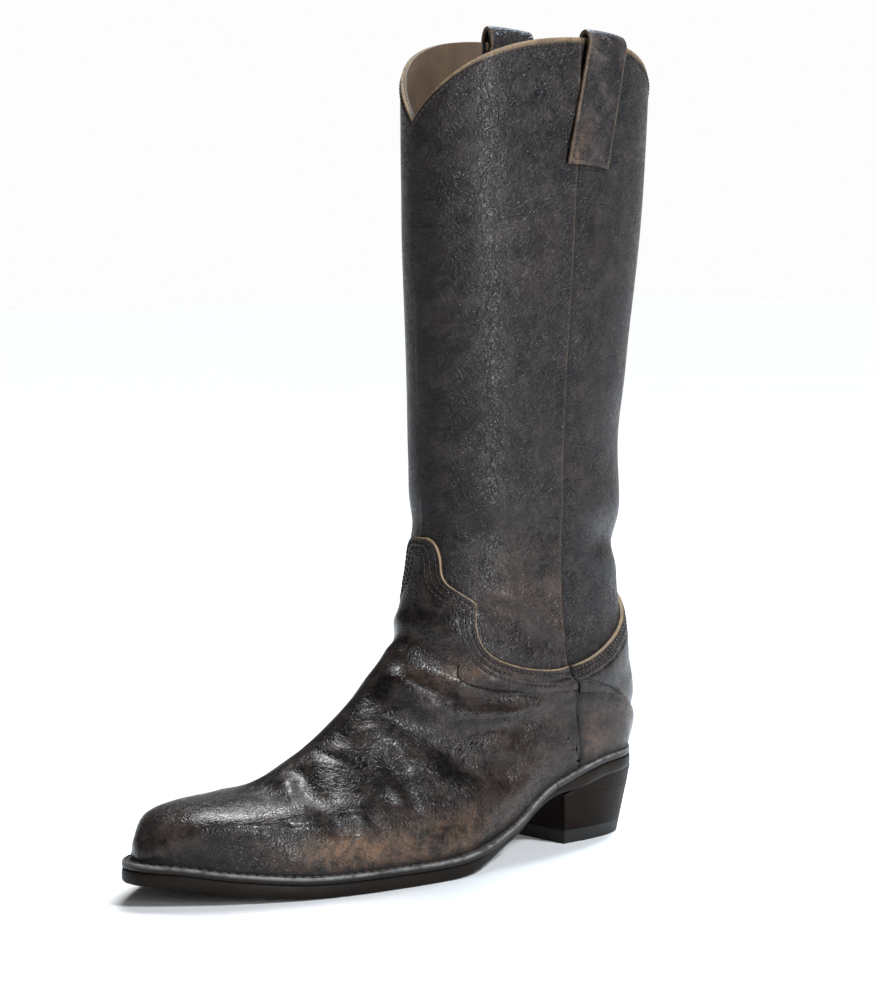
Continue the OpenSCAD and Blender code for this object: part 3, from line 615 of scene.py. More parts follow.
RAW_EDGE = (0.21, 0.145, 0.085)
# near black of the cracks, also the colour of painted shade
CRACK_AND_SHADE = (0.003, 0.0028, 0.003)
MATERIALS = {
    "vamp_leather": worn_leather("vamp_leather", (0.0028, 0.0025, 0.0028), (0.0165, 0.0115, 0.0100),
                                 (0.068, 0.051, 0.044), (0.120, 0.070, 0.043), (0.20, 0.36), 0.5),
    "shaft_leather": worn_leather("shaft_leather", (0.0020, 0.0019, 0.0025), (0.0105, 0.0076, 0.0075),
                                  (0.040, 0.031, 0.030), (0.060, 0.038, 0.029), (0.24, 0.46), 0.8),
    "strap_leather": worn_leather("strap_leather", (0.006, 0.0052, 0.006), (0.028, 0.021, 0.0195),
                                  (0.080, 0.062, 0.055), (0.100, 0.062, 0.040), (0.28, 0.50), 0.9),
    "lining_leather": plain_leather("lining_leather", (0.055, 0.033, 0.019), (0.12, 0.075, 0.045), 0.55),
    "fibreboard": grainy("fibreboard", (0.42, 0.33, 0.2), (0.55, 0.45, 0.3), 0.85, 500),
    "dark_thread": grainy("dark_thread", (0.010, 0.009, 0.009), (0.035, 0.028, 0.025), 0.6, 2500,
                          depth=0.0002),
    "pale_thread": grainy("pale_thread", (0.025, 0.021, 0.017), (0.060, 0.050, 0.040), 0.6, 2500,
                          depth=0.0002),
    "insole_leather": plain_leather("insole_leather", (0.34, 0.22, 0.13), (0.50, 0.36, 0.23), 0.55),
    "cork": grainy("cork", (0.22, 0.13, 0.06), (0.45, 0.3, 0.17), 0.9, 350, depth=0.001),
    "steel": grainy("steel", (0.45, 0.46, 0.48), (0.6, 0.6, 0.62), 0.35, 900, metallic=1.0, depth=0.0001),
    "brass": grainy("brass", (0.5, 0.36, 0.14), (0.66, 0.5, 0.24), 0.35, 900, metallic=1.0, depth=0.0001),
    # its third, paler tone is wear and a painted highlight on the welt's top outer edge
    "welt_leather": plain_leather("welt_leather", (0.004, 0.0038, 0.004), (0.013, 0.011, 0.0105), 0.38,
                                  shine_level=0.20, worn=(0.17, 0.165, 0.16)),
    "sole_leather": plain_leather("sole_leather", (0.003, 0.0023, 0.0019), (0.012, 0.0078, 0.0052), 0.45,
                                  streak=(0.25, 0.25, 3), shine_level=0.10),
    "heel_leather": plain_leather("heel_leather", (0.0020, 0.0012, 0.0008), (0.0080, 0.0042, 0.0024), 0.42,
                                  streak=(1.5, 1.5, 0.3), shine_level=0.05),
    "top_lift_rubber": grainy("top_lift_rubber", (0.004, 0.004, 0.004), (0.010, 0.0095, 0.009), 0.6, 700),
    "peg_wood": plain_leather("peg_wood", (0.4, 0.28, 0.16), (0.6, 0.45, 0.28), 0.6, streak=(1, 1, 0.2)),
}


# ---- camera, light and floor ----
CAMERA_AZIMUTH = -42.0
CAMERA_PITCH = 5.37
CAMERA_REACH = 1.5
CAMERA_HEIGHT = 0.3052
CAMERA_LENS = 118.0
AIM_X = -111.4   # the point of the centre plane that the camera looks over, in the last's own x
WORLD_WHITE = 0.98
WORLD_GREY = 0.07
SKY_TINT = (0.97, 0.985, 1.0)
WHITE = (1.0, 1.0, 1.0)
PALE_BLUE = (0.88, 0.94, 1.0)
BLUE = (0.55, 0.78, 1.0)


def add_camera():
    """Pinhole camera at the given azimuth, pitched slightly down towards the boot."""
    turn = np.radians(CAMERA_AZIMUTH)
    data = bpy.data.cameras.new("camera")
    data.sensor_fit = "VERTICAL"
    data.sensor_height = 36
    data.lens = CAMERA_LENS
    data.clip_end = 50
    camera = bpy.data.objects.new("camera", data)
    bpy.context.scene.collection.objects.link(camera)
    aim = (np.array([AIM_X, 0, 0]) + PLACE) * MM
    away = CAMERA_REACH * np.array([np.sin(turn), -np.cos(turn)])
    camera.location = (aim[0] + away[0], aim[1] + away[1], CAMERA_HEIGHT)
    camera.rotation_euler = (np.radians(90 - CAMERA_PITCH), 0, turn)
    bpy.context.scene.camera = camera


def stand(name, data, azimuth, elevation, reach=1.6, height=0.17):
    """Puts a light at an azimuth and elevation round the boot, looking at it."""
    light = bpy.data.objects.new(name, data)
    bpy.context.scene.collection.objects.link(light)
    az, el = np.radians(azimuth), np.radians(elevation)
    along = np.array([np.sin(az) * np.cos(el), -np.cos(az) * np.cos(el), np.sin(el)])
    light.location = np.array([0, 0, height]) + reach * along
    light.rotation_euler = (np.radians(90) - el, 0, az)


def add_panel(name, azimuth, elevation, size, power, colour):
    data = bpy.data.lights.new(name, "AREA")
    data.color = colour
    data.shape = "RECTANGLE"
    data.size, data.size_y = size
    data.energy = power
    stand(name, data, azimuth, elevation)


def add_sun(name, azimuth, elevation, power, spread):
    data = bpy.data.lights.new(name, "SUN")
    data.energy = power
    data.color = SKY_TINT
    data.angle = np.radians(spread)
    stand(name, data, azimuth, elevation)


def add_world():
    """White round the horizon and below it, grey overhead."""
    world = bpy.data.worlds.new("world")
    world.use_nodes = True
    tree = world.node_tree
    where = tree.nodes.new("ShaderNodeTexCoord").outputs["Generated"]
    split = tree.nodes.new("ShaderNodeSeparateXYZ")
    tree.links.new(where, split.inputs[0])
    sky = ramp(tree, split.outputs["Z"], [(0.0, WORLD_WHITE), (0.063, WORLD_WHITE), (0.08, WORLD_GREY)])
    tree.links.new(sky, tree.nodes["Background"].inputs["Color"])
    bpy.context.scene.world = world


def add_floor():
    half = 6.0
    corners = [(-half, -half, 0), (half, -half, 0), (half, half, 0), (-half, half, 0)]
    mesh = bpy.data.meshes.new("floor")
    mesh.from_pydata(corners, [], [(0, 1, 2, 3)])
    floor = bpy.data.objects.new("floor", mesh)
    bpy.context.scene.collection.objects.link(floor)
    material, tree, shader, where = nodes_of("floor_paint")
    speck = noise(tree, where, 3, 2)
    tree.links.new(ramp(tree, speck, [(0.0, 0.72), (1.0, 0.74)]), shader.inputs["Base Color"])
    shader.inputs["Roughness"].default_value = 0.9
    shader.inputs["Specular IOR Level"].default_value = 0.1
    mesh.materials.append(material)


add_camera()
add_world()
add_floor()
add_sun("key", 124, 58, 4.8, 30)
add_panel("tall_window", -2, 2, (0.10, 1.2), 24, WHITE)
add_panel("side_fill", 10, 40, (0.30, 0.30), 30, PALE_BLUE)
add_panel("toe_window", 104, 54, (0.22, 0.22), 18, BLUE)
bpy.context.scene.view_settings.view_transform = "Standard"


# ---- upper ----
LAP = 8.0          # how far the vamp and the counter lie over the shaft
LAP_REACH = 24.0   # where they have sunk back to the shaft's own level
CHAMFER = 0.5      # width of a raw cut edge
HALF_PANEL = 85    # mm from the front ridge or the back line to a side seam


def even_columns(count):
    """Shares a from 0 to 1, evenly spaced along the vamp's top line."""
    a, t = VAMP_CURVE[:, 0], VAMP_CURVE[:, 1]
    line = front_skin(a, t, 0)
    length = np.concatenate([[0], np.cumsum(np.linalg.norm(np.diff(line, axis=0), axis=1))])
    return np.interp(np.linspace(0, length[-1], count), length, a)


def both_sides(shares):
    return np.concatenate([-shares[:0:-1], shares])


FRONT_A = both_sides(even_columns(97))
BACK_C = np.linspace(-1, 1, 141)


def rub_front(u, t):
    """Where the vamp is rubbed brown: low along the ball, at the toe's sides and the ankle."""
    low = ease((u - 0.62) / 0.3) * np.exp(-((t - 12.6) / 1.6) ** 2)
    spot = np.exp(-((t - 13.55) / 0.35) ** 2 - ((u - 0.85) / 0.12) ** 2)
    ankle = 0.6 * np.exp(-((t - 7.0) / 0.6) ** 2 - ((u - 0.25) / 0.12) ** 2)
    return clamp01(0.8 * low + spot + ankle)


def rub_back(u, t):
    """Where the counter is rubbed brown: low by its seams and on the seat."""
    low = ease((u - 0.6) / 0.3) * np.exp(-((t - 8.9) / 0.5) ** 2)
    seat = 0.7 * np.exp(-((t - 7.6) / 0.6) ** 2) * ease((u - 0.7) / 0.2)
    return clamp01(0.4 * low + 0.5 * seat)


def at_seam(share, width):
    """1 on a side seam (share 1 or -1), fading over width mm."""
    return np.exp(-((1 - np.abs(share)) * HALF_PANEL / width) ** 2)


def at_feather(u, t):
    """1 on the feather line, fading over a few mm up the leather, and further up round the toe: the mask of
    painted shade in the corner over the welt and on the toe's lower side.
    """
    line = 0.9 * np.exp(-((1 - u) * 60 / 2.2) ** 2) * (t > 7.2)
    toe = 0.75 * ease((t - 14.3) / 1.2) * ease((u - 0.55) / 0.3)
    return np.maximum(line, toe)


def chamfered(out, near):
    """Outer offset with its cut edge bevelled over the first CHAMFER mm."""
    return out - CHAMFER * (1 - clamp01(near / CHAMFER))


def raw_edge(near):
    """1 on a bevelled cut edge, 0 past it."""
    return 1 - ease((near - 0.7 * CHAMFER) / (0.6 * CHAMFER))


def vamp():
    """The vamp lies over the shaft along its top line and runs on under the toe."""
    lap_rows = 1.0 * (np.linspace(0, 1, 46) ** 1.5)
    body_rows = np.linspace(0, 1, 165)[1:]
    a = FRONT_A[None, :]
    top = vamp_t(a)
    t = np.vstack([top + lap_rows[:, None], mix(top + lap_rows[-1], TOE_T, body_rows[:, None])])
    a = np.broadcast_to(a, t.shape)
    line_a = both_sides(VAMP_CURVE[:, 0])
    fine = np.interp(np.linspace(0, len(line_a) - 1, 1600), np.arange(len(line_a)), line_a)
    line = front_skin(fine, vamp_t(fine), 0)
    near = np.full(t.shape, LAP_REACH)
    reach = (t - vamp_t(a)).min(1) < 1.8
    near[reach] = line_distance(front_skin(a[reach], t[reach], 0), line)
    out = lapped(near)
    u, tt, side = front_ut(a, t)
    # painted shade near black along the vamp's side seams, along the feather line and low round the toe
    piece = sheet("vamp", skin(u, tt, side, chamfered(out, near)), skin(u, tt, side, out - LEATHER_T),
                  sewn=True, raw=raw_edge(near), rub=rub_front(u, tt),
                  soil=np.maximum(at_seam(a, 1.0) * (t < SEAM_END_T), at_feather(u, tt)))
    return finish(piece, "vamp_leather", "vamp")


STITCH_ROWS = (2.2, 5.0, 7.6)


def lapped(near):
    """Outer offset of a ply that lies over the shaft near its cut edge, dented by rows of sewing."""
    out = mix(LEATHER_T + PLY_GAP, 0, ease((near - LAP) / (LAP_REACH - LAP)))
    for row in STITCH_ROWS:
        out = out - 0.3 * np.exp(-((near - row) / 0.6) ** 2)
    return out


def front_ply(name, out, thick, rows, raw_on=True):
    """A ply of the shaft's front: from the top line down to LAP below the vamp's top line."""
    r = np.concatenate([np.linspace(0, 0.04, 8)[:-1], np.linspace(0.04, 1, rows)])[:, None]
    a = FRONT_A[None, :]
    top, foot = rim_t(np.abs(a) * SEAM_U), vamp_t(a) + 0.45
    t = mix(top, foot, r)
    a = np.broadcast_to(a, t.shape)
    fine = np.linspace(-1, 1, 900)
    line = front_skin(fine, rim_t(np.abs(fine) * SEAM_U), 0)
    near = np.full(t.shape, LAP_REACH)
    near[:20] = line_distance(front_skin(a[:20], t[:20], 0), line)
    u, tt, side = front_ut(a, t)
    outer = chamfered(np.full(t.shape, float(out)), near) if raw_on else np.full(t.shape, float(out))
    lift = 0.9 * at_seam(a, 4.0) * ease((6.3 - t) / 0.8) if raw_on else 0
    low_side = 0.6 * np.exp(-((t - 4.3) / 0.9) ** 2) * ease((u - 0.15) / 0.2)
    # tan on the cut top edge, and a pale painted highlight along the panel's edge at the side seams
    return sheet(name, skin(u, tt, side, outer + lift), skin(u, tt, side, np.full(t.shape, out - thick)),
                 raw=np.maximum(raw_edge(near), 0.18 * at_seam(a, 1.0)), rub=low_side, soil=0 * t)


def back_ply(name, out, thick, first, last, rows, slot, node, sink=None, cut=False, seam=0.0):
    """A ply of the back half between shares first(c) and last(c), seam mm lower at its side edges."""
    r = np.concatenate([np.linspace(0, 0.05, 8)[:-1], np.linspace(0.05, 1, rows)])[:, None]
    c = np.broadcast_to(BACK_C[None, :], (len(r), len(BACK_C)))
    b = mix(first(BACK_C)[None, :], last(BACK_C)[None, :], r)
    u, t, side = back_ut(c, b)
    line = back_skin(np.linspace(-1, 1, 900), first(np.linspace(-1, 1, 900)), 0)
    near = np.full(b.shape, LAP_REACH)
    near[:60] = line_distance(skin(u[:60], t[:60], side[:60], 0), line)
    level = np.full(b.shape, float(out)) + (sink(b, near) if sink else 0)
    level = level - seam * at_seam(c, 6.0)
    outer = chamfered(level, near) if cut else level
    # painted shadow beside the side seams, and painted shade along the feather line
    piece = sheet(name, skin(u, t, side, outer), skin(u, t, side, level - thick),
                  raw=raw_edge(near) * cut, rub=rub_back(u, t),
                  soil=np.maximum(at_seam(c, 3.0), at_feather(u, t) * (b > 0.9)))
    return finish(piece, slot, node)


def ones(c):
    """The feather line, as the share b where a ply of the back half ends."""
    return np.ones_like(c)


def upper():
    """All plies of the upper, from the outside in."""
    vamp()
    finish(front_ply("shaft_front", 0, LEATHER_T, 150), "shaft_leather", "shaft_front")
    back_ply("shaft_back", 0, LEATHER_T, rim_b, lambda c: counter_b(1 - np.abs(c)) + 0.05, 130,
             "shaft_leather", "shaft_back", cut=True, seam=1.3)
    back_ply("counter_cover", 0, LEATHER_T, lambda c: counter_b(1 - np.abs(c)), ones, 90,
             "vamp_leather", "counter_cover", cut=True, seam=0.5,
             sink=lambda b, near: lapped(near))
    under = -LEATHER_T - PLY_GAP
    finish(front_ply("shaft_lining_front", under, LINING_T, 70, raw_on=False), "lining_leather",
           "shaft_lining_front")
    back_ply("shaft_lining_back", under, LINING_T, rim_b, ones, 110, "lining_leather", "shaft_lining_back",
             sink=lambda b, near: -(STIFFENER_T + PLY_GAP) * ease((b - 0.64) / 0.06))
    back_ply("heel_counter", -LEATHER_T - PLY_GAP / 2, STIFFENER_T,
             lambda c: 0.7 + 0.12 * c * c, lambda c: 0.995 * ones(c), 30, "fibreboard", "heel_counter")
    toe_ply("vamp_lining", lambda a: vamp_t(a) + 0.5, under, LINING_T, 90, "lining_leather")
    toe_ply("toe_box", lambda a: 14.1 + 0.5 * a * a, -LEATHER_T - PLY_GAP / 2, STIFFENER_T, 24, "fibreboard")


def toe_ply(name, first, out, thick, rows, slot):
    """A ply inside the foot's front, from station first(a) to the toe, sunk under the toe box."""
    a = FRONT_A[None, ::2]
    t = mix(first(a), TOE_T, np.linspace(0, 1, rows)[:, None])
    a = np.broadcast_to(a, t.shape)
    u, tt, side = front_ut(a, t)
    sunk = out - (STIFFENER_T + PLY_GAP) * ease((t - 13.2) / 0.8) * (thick == LINING_T)
    finish(sheet(name, skin(u, tt, side, sunk), skin(u, tt, side, sunk - thick), sewn=True), slot, name)


def side_welts():
    """A narrow rounded rib along each side seam."""
    t = np.linspace(rim_t(SEAM_U) + 0.006, SEAM_END_T - 0.5, 160)
    turn = np.linspace(0, 2 * np.pi, 10, endpoint=False)
    for side, name in ((1.0, "side_welt_lateral"), (-1.0, "side_welt_medial")):
        reach = 0.008 * np.cos(turn)[None, :]
        # deep between the shaft's panels, and level with the leather beside the heel
        out = (mix(-1.9, -0.45, ease((t - 5.6) / 0.5))[:, None] + 0.6 * np.sin(turn)[None, :])
        u = seam_u(t)[:, None] + reach
        tt = np.broadcast_to(t[:, None], u.shape)
        rings = skin(u, tt, side, np.broadcast_to(out, u.shape))
        # the ribs are painted near black: painted shade in the seam's groove
        finish(tube(name, rings, sharp=80, raw=0, rub=0, soil=0.8), "shaft_leather", name)


# ---- pull straps ----
STRAP_SPAN = 205   # mm round the shaft for each unit of u, where the straps lie


def strap_u(t):
    """Middle line of a pull strap's leg, which leans towards the front as it goes down."""
    return 0.585 - 0.072 * t


def strap_path(rise, count=120):
    """Middle line as (stations below the top line, out, up): outer leg, bend, inner leg."""
    low = STRAP_LEG / STATION_H
    out = STRAP_T / 2 + 0.9
    inner = -(LEATHER_T + 2 * PLY_GAP + LINING_T) - STRAP_T / 2 - 0.3
    mid, half, top = (out + inner) / 2, (out - inner) / 2, 0.02
    leg = np.linspace(0, 1, count)[:, None]
    turn = np.radians(np.linspace(7, 173, 24))[:, None]
    outer_leg = np.hstack([mix(low, top, leg), out + 0 * leg, 0 * leg])
    bend = np.hstack([top + 0 * turn, mid + half * np.cos(turn), rise * np.sin(turn)])
    inner_leg = np.hstack([mix(top, low * 0.85, leg), inner + 0 * leg, 0 * leg])
    return np.vstack([outer_leg, bend, inner_leg])


def strap_point(side, across, path):
    """path is (..., 3) of stations below the top line, out, up; across is mm from the strap's
    middle line."""
    below, out, up = path[..., 0], path[..., 1], path[..., 2]
    u = strap_u(below) + across / STRAP_SPAN
    point = skin(u, below + rim_t(strap_u(0) + across / STRAP_SPAN), side, out)
    point[..., 2] += up
    return point


def pull_straps():
    """A folded strap over each side of the top line, thinner at its edges and rubbed low down."""
    for side, name, rise in ((1.0, "pull_strap_lateral", 4.5), (-1.0, "pull_strap_medial", 8.5)):
        path = strap_path(rise)
        run = np.gradient(path, axis=0)
        run = unit(np.stack([run[:, 1], run[:, 2] - run[:, 0] * STATION_H], -1))
        push = np.stack([np.zeros(len(path)), run[:, 1], -run[:, 0]], -1)
        across = side * np.concatenate([[-1, -0.985, -0.95], np.linspace(-0.88, 0.88, 21), [0.95, 0.985, 1]])
        thin = 1 - 0.5 * np.clip((np.abs(across) - 0.93) / 0.07, 0, 1) ** 2
        shape = (len(path), len(across))

        def face(shift):
            lifted = path[:, None, :] + shift * push[:, None, :] * thin[None, :, None]
            sideways = np.broadcast_to(across * STRAP_W / 2, shape)
            return strap_point(side, sideways, np.broadcast_to(lifted, shape + (3,)))

        worn = np.broadcast_to(ease((np.abs(across) - 0.9) / 0.1), shape)
        low = ease((path[:, 0:1] - 0.35) / 0.4) * ease((1 - across * side) / 0.8 - 1.2)
        piece = sheet(name, face(STRAP_T / 2)[::-1], face(-STRAP_T / 2)[::-1], raw=worn * 0.25, soil=0 * worn,
                      rub=clamp01(np.broadcast_to(low, shape) + worn)[::-1])
        finish(piece, "strap_leather", name)


# ---- stitches ----
def stitches(name, rows, slot, node, pitch=2.6, length=2.1, radius=0.38):
    """Capsules of six sides laid end to end along each (points, normals) row."""
    turn = np.linspace(0, 2 * np.pi, 6, endpoint=False)
    stations = np.array([[-0.5, 0.3], [-0.4, 0.95], [0, 1.0], [0.4, 0.95], [0.5, 0.3]])
    verts, faces, count = [], [], 0
    for points, normals in rows:
        gone = np.concatenate([[0], np.cumsum(np.linalg.norm(np.diff(points, axis=0), axis=1))])
        at = np.arange(pitch / 2, gone[-1], pitch)
        centre = np.stack([np.interp(at, gone, points[:, k]) for k in range(3)], -1)
        ahead = np.stack([np.interp(at + 0.5, gone, points[:, k]) for k in range(3)], -1)
        behind = np.stack([np.interp(at - 0.5, gone, points[:, k]) for k in range(3)], -1)
        up = unit(np.stack([np.interp(at, gone, normals[:, k]) for k in range(3)], -1))
        along = unit(ahead - behind)
        side = unit(np.cross(along, up))
        ring = (np.cos(turn)[None, None, :, None] * side[:, None, None, :]
                + np.sin(turn)[None, None, :, None] * np.cross(side, along)[:, None, None, :])
        cap = (centre[:, None, None, :] + length * stations[None, :, 0, None, None] * along[:, None, None, :]
               + radius * stations[None, :, 1, None, None] * ring)
        verts.append(cap.reshape(-1, 3))
        base = count + np.arange(len(at))[:, None, None] * 30
        i, j = np.meshgrid(np.arange(4), np.arange(6), indexing="ij")
        quad = np.stack([i * 6 + j, i * 6 + (j + 1) % 6, (i + 1) * 6 + (j + 1) % 6, (i + 1) * 6 + j], -1)
        faces.append((base + quad.reshape(1, -1, 4)).reshape(-1, 4))
        count += len(at) * 30
    piece = new_object(name, np.vstack(verts), np.vstack(faces))
    work = bmesh.new()
    work.from_mesh(piece.data)
    bmesh.ops.holes_fill(work, edges=[e for e in work.edges if e.is_boundary])
    bmesh.ops.recalc_face_normals(work, faces=work.faces)
    work.to_mesh(piece.data)
    work.free()
    return finish(piece, slot, node)


def shifted_line(where, a, t, distance, sign):
    """Moves a line on the surface sideways by distance mm, in short steps along the surface.
    where(a, t) gives a point; sign picks the side."""
    for _ in range(4):
        here = where(a, t)
        pa = (where(a + 1e-3, t) - here) / 1e-3
        pt = (where(a, t + 1e-3) - here) / 1e-3
        along = unit(np.gradient(here, axis=0))
        inward = sign * unit(np.cross(unit(np.cross(pa, pt)), along)) * distance / 4
        aa, at_, tt = (pa * pa).sum(-1), (pa * pt).sum(-1), (pt * pt).sum(-1)
        ra, rt = (pa * inward).sum(-1), (pt * inward).sum(-1)
        det = aa * tt - at_ * at_
        a, t = a + (ra * tt - rt * at_) / det, t + (rt * aa - ra * at_) / det
    return a, t


def keep_clear(points, line, distance):
    """Mask of the points that lie at least distance from the line."""
    return line_distance(points, line, reach=99) > 0.96 * distance


def vamp_rows():
    """Rows of sewing that follow the vamp's top line on each half."""
    rows = []
    for side in (1.0, -1.0):
        step = np.linspace(0, len(VAMP_CURVE) - 1, 500)
        a = side * np.interp(step, np.arange(len(VAMP_CURVE)), VAMP_CURVE[:, 0])
        t = np.interp(step, np.arange(len(VAMP_CURVE)), VAMP_CURVE[:, 1])
        line = front_skin(a, t, 0)
        for row in STITCH_ROWS:
            a2, t2 = shifted_line(lambda p, q: surf(*front_ut(p, q)), a, t, row, side)
            u, tt, s = front_ut(a2, t2)
            points = skin(u, tt, s, LEATHER_T + PLY_GAP + 0.08)
            onward = (np.gradient(points, axis=0) * np.gradient(line, axis=0)).sum(-1) > 0
            keep = keep_clear(skin(u, tt, s, 0), line, row) & (np.abs(a2) < 0.96) & (a2 * side > 0) & onward
            keep &= np.isfinite(points).all(-1)
            rows.append((points[keep], normal(u, tt, s)[keep]))
    return rows


def counter_rows():
    """Two rows of sewing under the counter cover's top line."""
    rows = []
    c = np.linspace(-0.985, 0.985, 500)
    for row in STITCH_ROWS[:2]:
        c2, b2 = shifted_line(lambda p, q: surf(*back_ut(p, q)), c, counter_b(1 - np.abs(c)), row, 1.0)
        u, t, s = back_ut(c2, b2)
        points = skin(u, t, s, LEATHER_T + PLY_GAP + 0.08)
        keep = np.isfinite(points).all(-1)
        rows.append((points[keep], normal(u, t, s)[keep]))
    return rows


def top_line_rows():
    """One row of sewing under the top line, clear of the pull straps."""
    drop = 3.0 / STATION_H
    a = np.linspace(-0.93, 0.93, 400)
    u, t, s = front_ut(a, rim_t(np.abs(a) * SEAM_U) + drop)
    rows = [(skin(u, t, s, 0.05), normal(u, t, s))]
    c = np.linspace(-0.6, 0.6, 300)
    u, t, s = back_ut(c, rim_b(c) + drop / 8)
    rows.append((skin(u, t, s, 0.05), normal(u, t, s)))
    return rows


def strap_rows():
    """Sewing up both edges of each strap's outer leg, and two rows across its foot."""
    rows = []
    reach = STRAP_W / 2 - 2.2
    low = STRAP_LEG / STATION_H
    frames = [[(-reach, low - 0.03), (-reach, 0.08)], [(reach, low - 0.03), (reach, 0.08)],
              [(-reach, low - 0.03), (reach, low - 0.03)], [(-reach, low - 0.19), (reach, low - 0.19)]]
    for side in (1.0, -1.0):
        for (x0, t0), (x1, t1) in frames:
            f = np.linspace(0, 1, 60)
            path = np.stack([mix(t0, t1, f), STRAP_T + 0.95 + 0 * f, 0 * f], -1)
            points = strap_point(side, side * mix(x0, x1, f), path)
            rows.append((points, normal(strap_u(path[:, 0]), path[:, 0], side)))
    return rows


# ---- bottom ----
def plan_point(t, side, d):
    """A point of the feather line in plan, moved outwards by d."""
    step = np.where(t > 17.5, -0.01, 0.01)
    here, ahead = edge(t), edge(t + step)
    y = np.where(side > 0, here[..., 2], here[..., 3])
    y2 = np.where(side > 0, ahead[..., 2], ahead[..., 3])
    along = unit(np.stack([ahead[..., 0] - here[..., 0], -side * (y2 - y)], -1) * np.sign(step)[..., None])
    return np.stack([here[..., 0] - side * along[..., 1] * d, -side * y + side * along[..., 0] * d], -1)


SIDE_T = np.linspace(8, TOE_T, 201)
SIDE_X, SIDE_Z = edge(SIDE_T)[:, 0], edge(SIDE_T)[:, 1]


def feather_z(x):
    """Height of the feather line's side profile at x: level behind the heel, rising past the toe."""
    rise = 0.15 * np.maximum(SIDE_X[-1] - x, 0)
    return np.interp(x, SIDE_X[::-1], SIDE_Z[::-1]) + rise + SOLE_H


def sole_point(t, side, d, depth):
    """The feather line moved outwards by d in plan, and depth mm below the side profile there."""
    plan = plan_point(t, side, d)
    x = plan[..., 0]
    tilt = (feather_z(x + 1) - feather_z(x - 1)) / 2
    return np.stack([x, plan[..., 1], feather_z(x) - depth * np.sqrt(1 + tilt * tilt)], -1)


def reach_of(t, heel, fore):
    return mix(heel, fore, ease((t - 10) / 2))


def welt_reach_of(t):
    return reach_of(t, RAND_REACH, WELT_REACH)


def ring_section(t, side, section):
    """section is a list of (share of reach, extra mm, depth); the ring runs through them."""
    d = np.stack([share * welt_reach_of(t) + extra for share, extra, _ in section], -1)
    depth = np.stack([np.full(t.shape, z) for _, _, z in section], -1)
    tt = np.broadcast_to(t[:, None], d.shape)
    return sole_point(tt, np.broadcast_to(side[:, None], d.shape), d, depth)


WELT_SECTION = [(0, -4, 0.15), (1, -0.7, 0.1), (1, -0.25, 0.3), (1, 0, 0.8), (1, 0.02, 1.8), (1, -0.05, 2.7),
                (1, -0.5, 3.3), (0, -4, 3.35)]
WELT_WEAR_AND_HIGHLIGHT = np.array([0, 0.5, 1, 0.7, 0, 0, 0, 0])   # how pale each point of the section is: wear and a painted highlight on the top outer corner


def around(first, count):
    """Stations from first on the lateral side round the toe to first on the medial side."""
    t = np.linspace(first, TOE_T - 0.001, count)
    return np.concatenate([t, t[::-1]]), np.concatenate([np.ones(count), -np.ones(count)])


def welt_and_rand():
    """The welt from the waist round the toe, and the rand that carries it on round the heel."""
    t, side = around(9.9, 170)
    finish(tube("welt", ring_section(t, side, WELT_SECTION), raw=WELT_WEAR_AND_HIGHLIGHT), "welt_leather", "welt")
    t = np.linspace(9.88, CORNER_T + 0.001, 60)
    t, side = np.concatenate([t, t[::-1]]), np.concatenate([np.ones(60), -np.ones(60)])
    rings = ring_section(t, side, WELT_SECTION)[::-1]
    finish(tube("heel_rand", rings, raw=WELT_WEAR_AND_HIGHLIGHT), "welt_leather", "heel_rand")


def outsole():
    """Cross rings from the heel's back to the toe: a rounded edge on each side, flat between."""
    t = CORNER_T + 0.001 + (TOE_T - CORNER_T - 0.002) * np.linspace(0, 1, 240)
    waist = ease((t - 9.2) / 0.7) * (1 - ease((t - 11) / 1.2))
    reach = welt_reach_of(t) - 3.2 * waist
    deep = SOLE_H - 1.6 * waist
    edge_rows = [(-0.6, WELT_T + 0.1, 0), (-0.15, WELT_T + 0.5, 0), (0, WELT_T + 1.3, 0), (0.1, 0, 0.45),
                 (0, 0, 0.75), (-0.3, 0, 0.9), (-1.0, 0, 1.0)]
    rings = []
    for side in (1.0, -1.0):
        part = []
        for extra, depth, share in edge_rows:
            z = depth if share == 0 else mix(WELT_T, deep, share)
            part.append(sole_point(t, side + 0 * t, reach + extra, z + 0 * t))
        rings.append(part)
    lateral, medial = rings
    bottom = [mix(lateral[-1], medial[-1], f) for f in np.linspace(0, 1, 17)[1:-1]]
    top = [mix(medial[0], lateral[0], f) for f in np.linspace(0, 1, 7)[1:-1]]
    ring = np.stack(lateral + bottom + medial[::-1] + top, 1)
    finish(close_up(tube("outsole", ring, sharp=35)), "sole_leather", "outsole")


def heel_ring(z, count=40):
    """Outline of the heel at height z: a straight breast and a rounded back."""
    f = np.asarray(z, float)[..., None] / 35
    q = np.radians(np.linspace(0, 90, count))
    front = -HEEL_BREAST - 4 * f
    half = HEEL_HALF_W + 4 * f
    back = mix(-6.0, 3.2, f)
    x = front + (back - front) * np.sin(q) ** 0.72
    y = -half * np.cos(q) ** 0.72
    return np.stack([np.concatenate([x, x[..., -2::-1]], -1), np.concatenate([y, -y[..., -2::-1]], -1)], -1)


def seat_height(x):
    """Height of the outsole's underside over the heel."""
    t = np.linspace(8, 10.6, 60)
    low = sole_point(t, np.ones(60), np.zeros(60), np.full(60, SOLE_H + PLY_GAP))
    return np.interp(x, low[::-1, 0], low[::-1, 2])


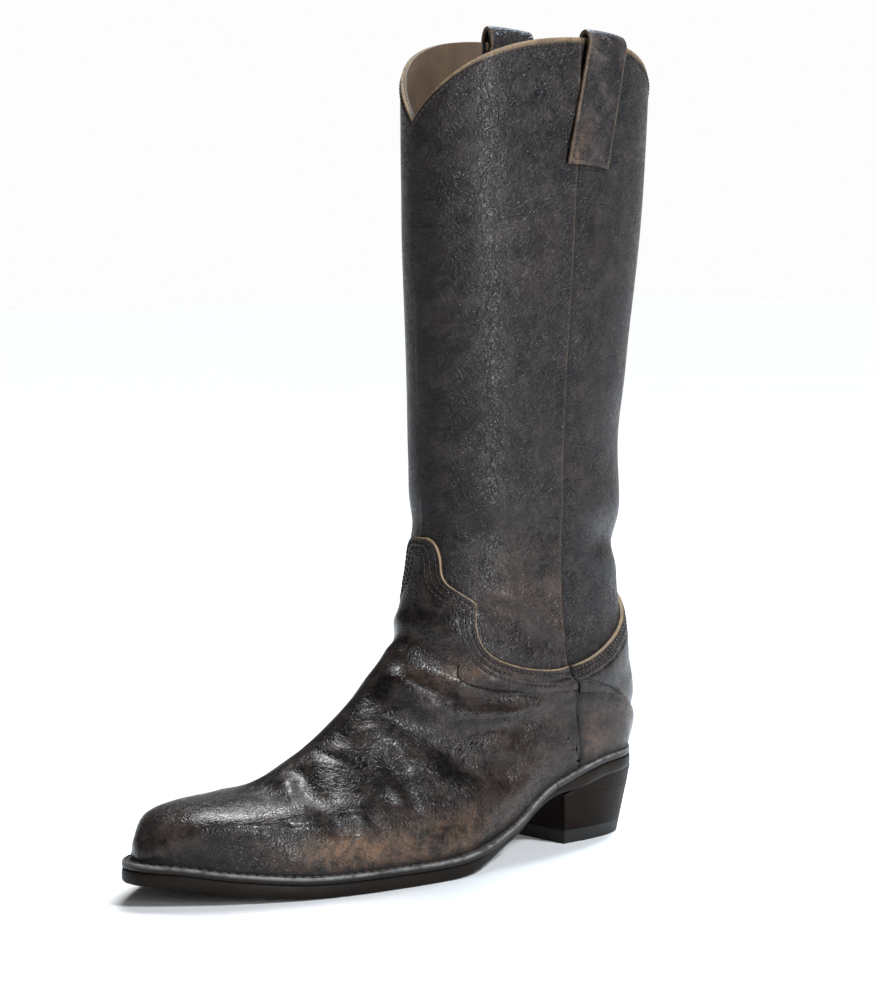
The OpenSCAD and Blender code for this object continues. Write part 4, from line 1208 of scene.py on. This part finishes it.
def heel_block(name, low, high, slot, seat=False, line=0.12):
    """A layer of the heel between two heights, its edges eased by line mm."""
    levels = [(low, -line), (low + line, 0)] + [(mix(low, high, f), 0) for f in (0.25, 0.5, 0.75)]
    levels += [(high - line, 0), (high, -line)]
    rings = []
    for z, shrink in levels:
        outline = heel_ring(z)
        centre = np.array([-30.0, 0])
        outline = outline + shrink * unit(outline - centre)
        height = np.full(len(outline), z)
        if seat:
            height = mix(low, seat_height(outline[:, 0]), (z - low) / (high - low))
        rings.append(np.column_stack([outline, height]))
    finish(tube(name, np.array(rings), sharp=35), slot, name)


def heel():
    """The wedge, four level lifts and the top lift, at the CAD's heights."""
    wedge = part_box("heel_lift_1")[0].z / MM
    lift = (wedge - TOP_LIFT_T) / (LIFTS - 1)
    heel_block("heel_lift_1", wedge, wedge + 7, "heel_leather", seat=True)
    for n in range(2, LIFTS + 1):
        floor = TOP_LIFT_T + (LIFTS - n) * lift
        heel_block(f"heel_lift_{n}", floor, floor + lift, "heel_leather", line=0.02)
    heel_block("top_lift", 0.0, TOP_LIFT_T, "top_lift_rubber", line=0.25)


def welt_rows():
    """The row of stitches on top of the welt."""
    t, side = around(10.4, 160)
    points = sole_point(t, side, welt_reach_of(t) - 1.5, -0.05 + 0 * t)
    return [(points, np.broadcast_to([0, 0, 1.0], points.shape))]


upper()
side_welts()
pull_straps()
stitches("vamp_stitch", vamp_rows(), "dark_thread", "vamp_stitch")
stitches("counter_stitch", counter_rows(), "dark_thread", "counter_stitch")
stitches("top_line_stitch", top_line_rows(), "dark_thread", "top_line_stitch")
stitches("strap_stitch", strap_rows(), "dark_thread", "strap_stitch")
stitches("welt_stitch", welt_rows(), "pale_thread", "welt_stitch", pitch=4.2, length=3.4, radius=0.4)
welt_and_rand()
outsole()
heel()

# Hidden and small pieces keep their CAD shape and take their slot's finish
slot_of = {part["node"]: part["material_slot"] for part in frame["record"]["subparts"]}
for name, node in frame["nodes"].items():
    node.data.materials.clear()
    node.data.materials.append(MATERIALS[slot_of[name]])
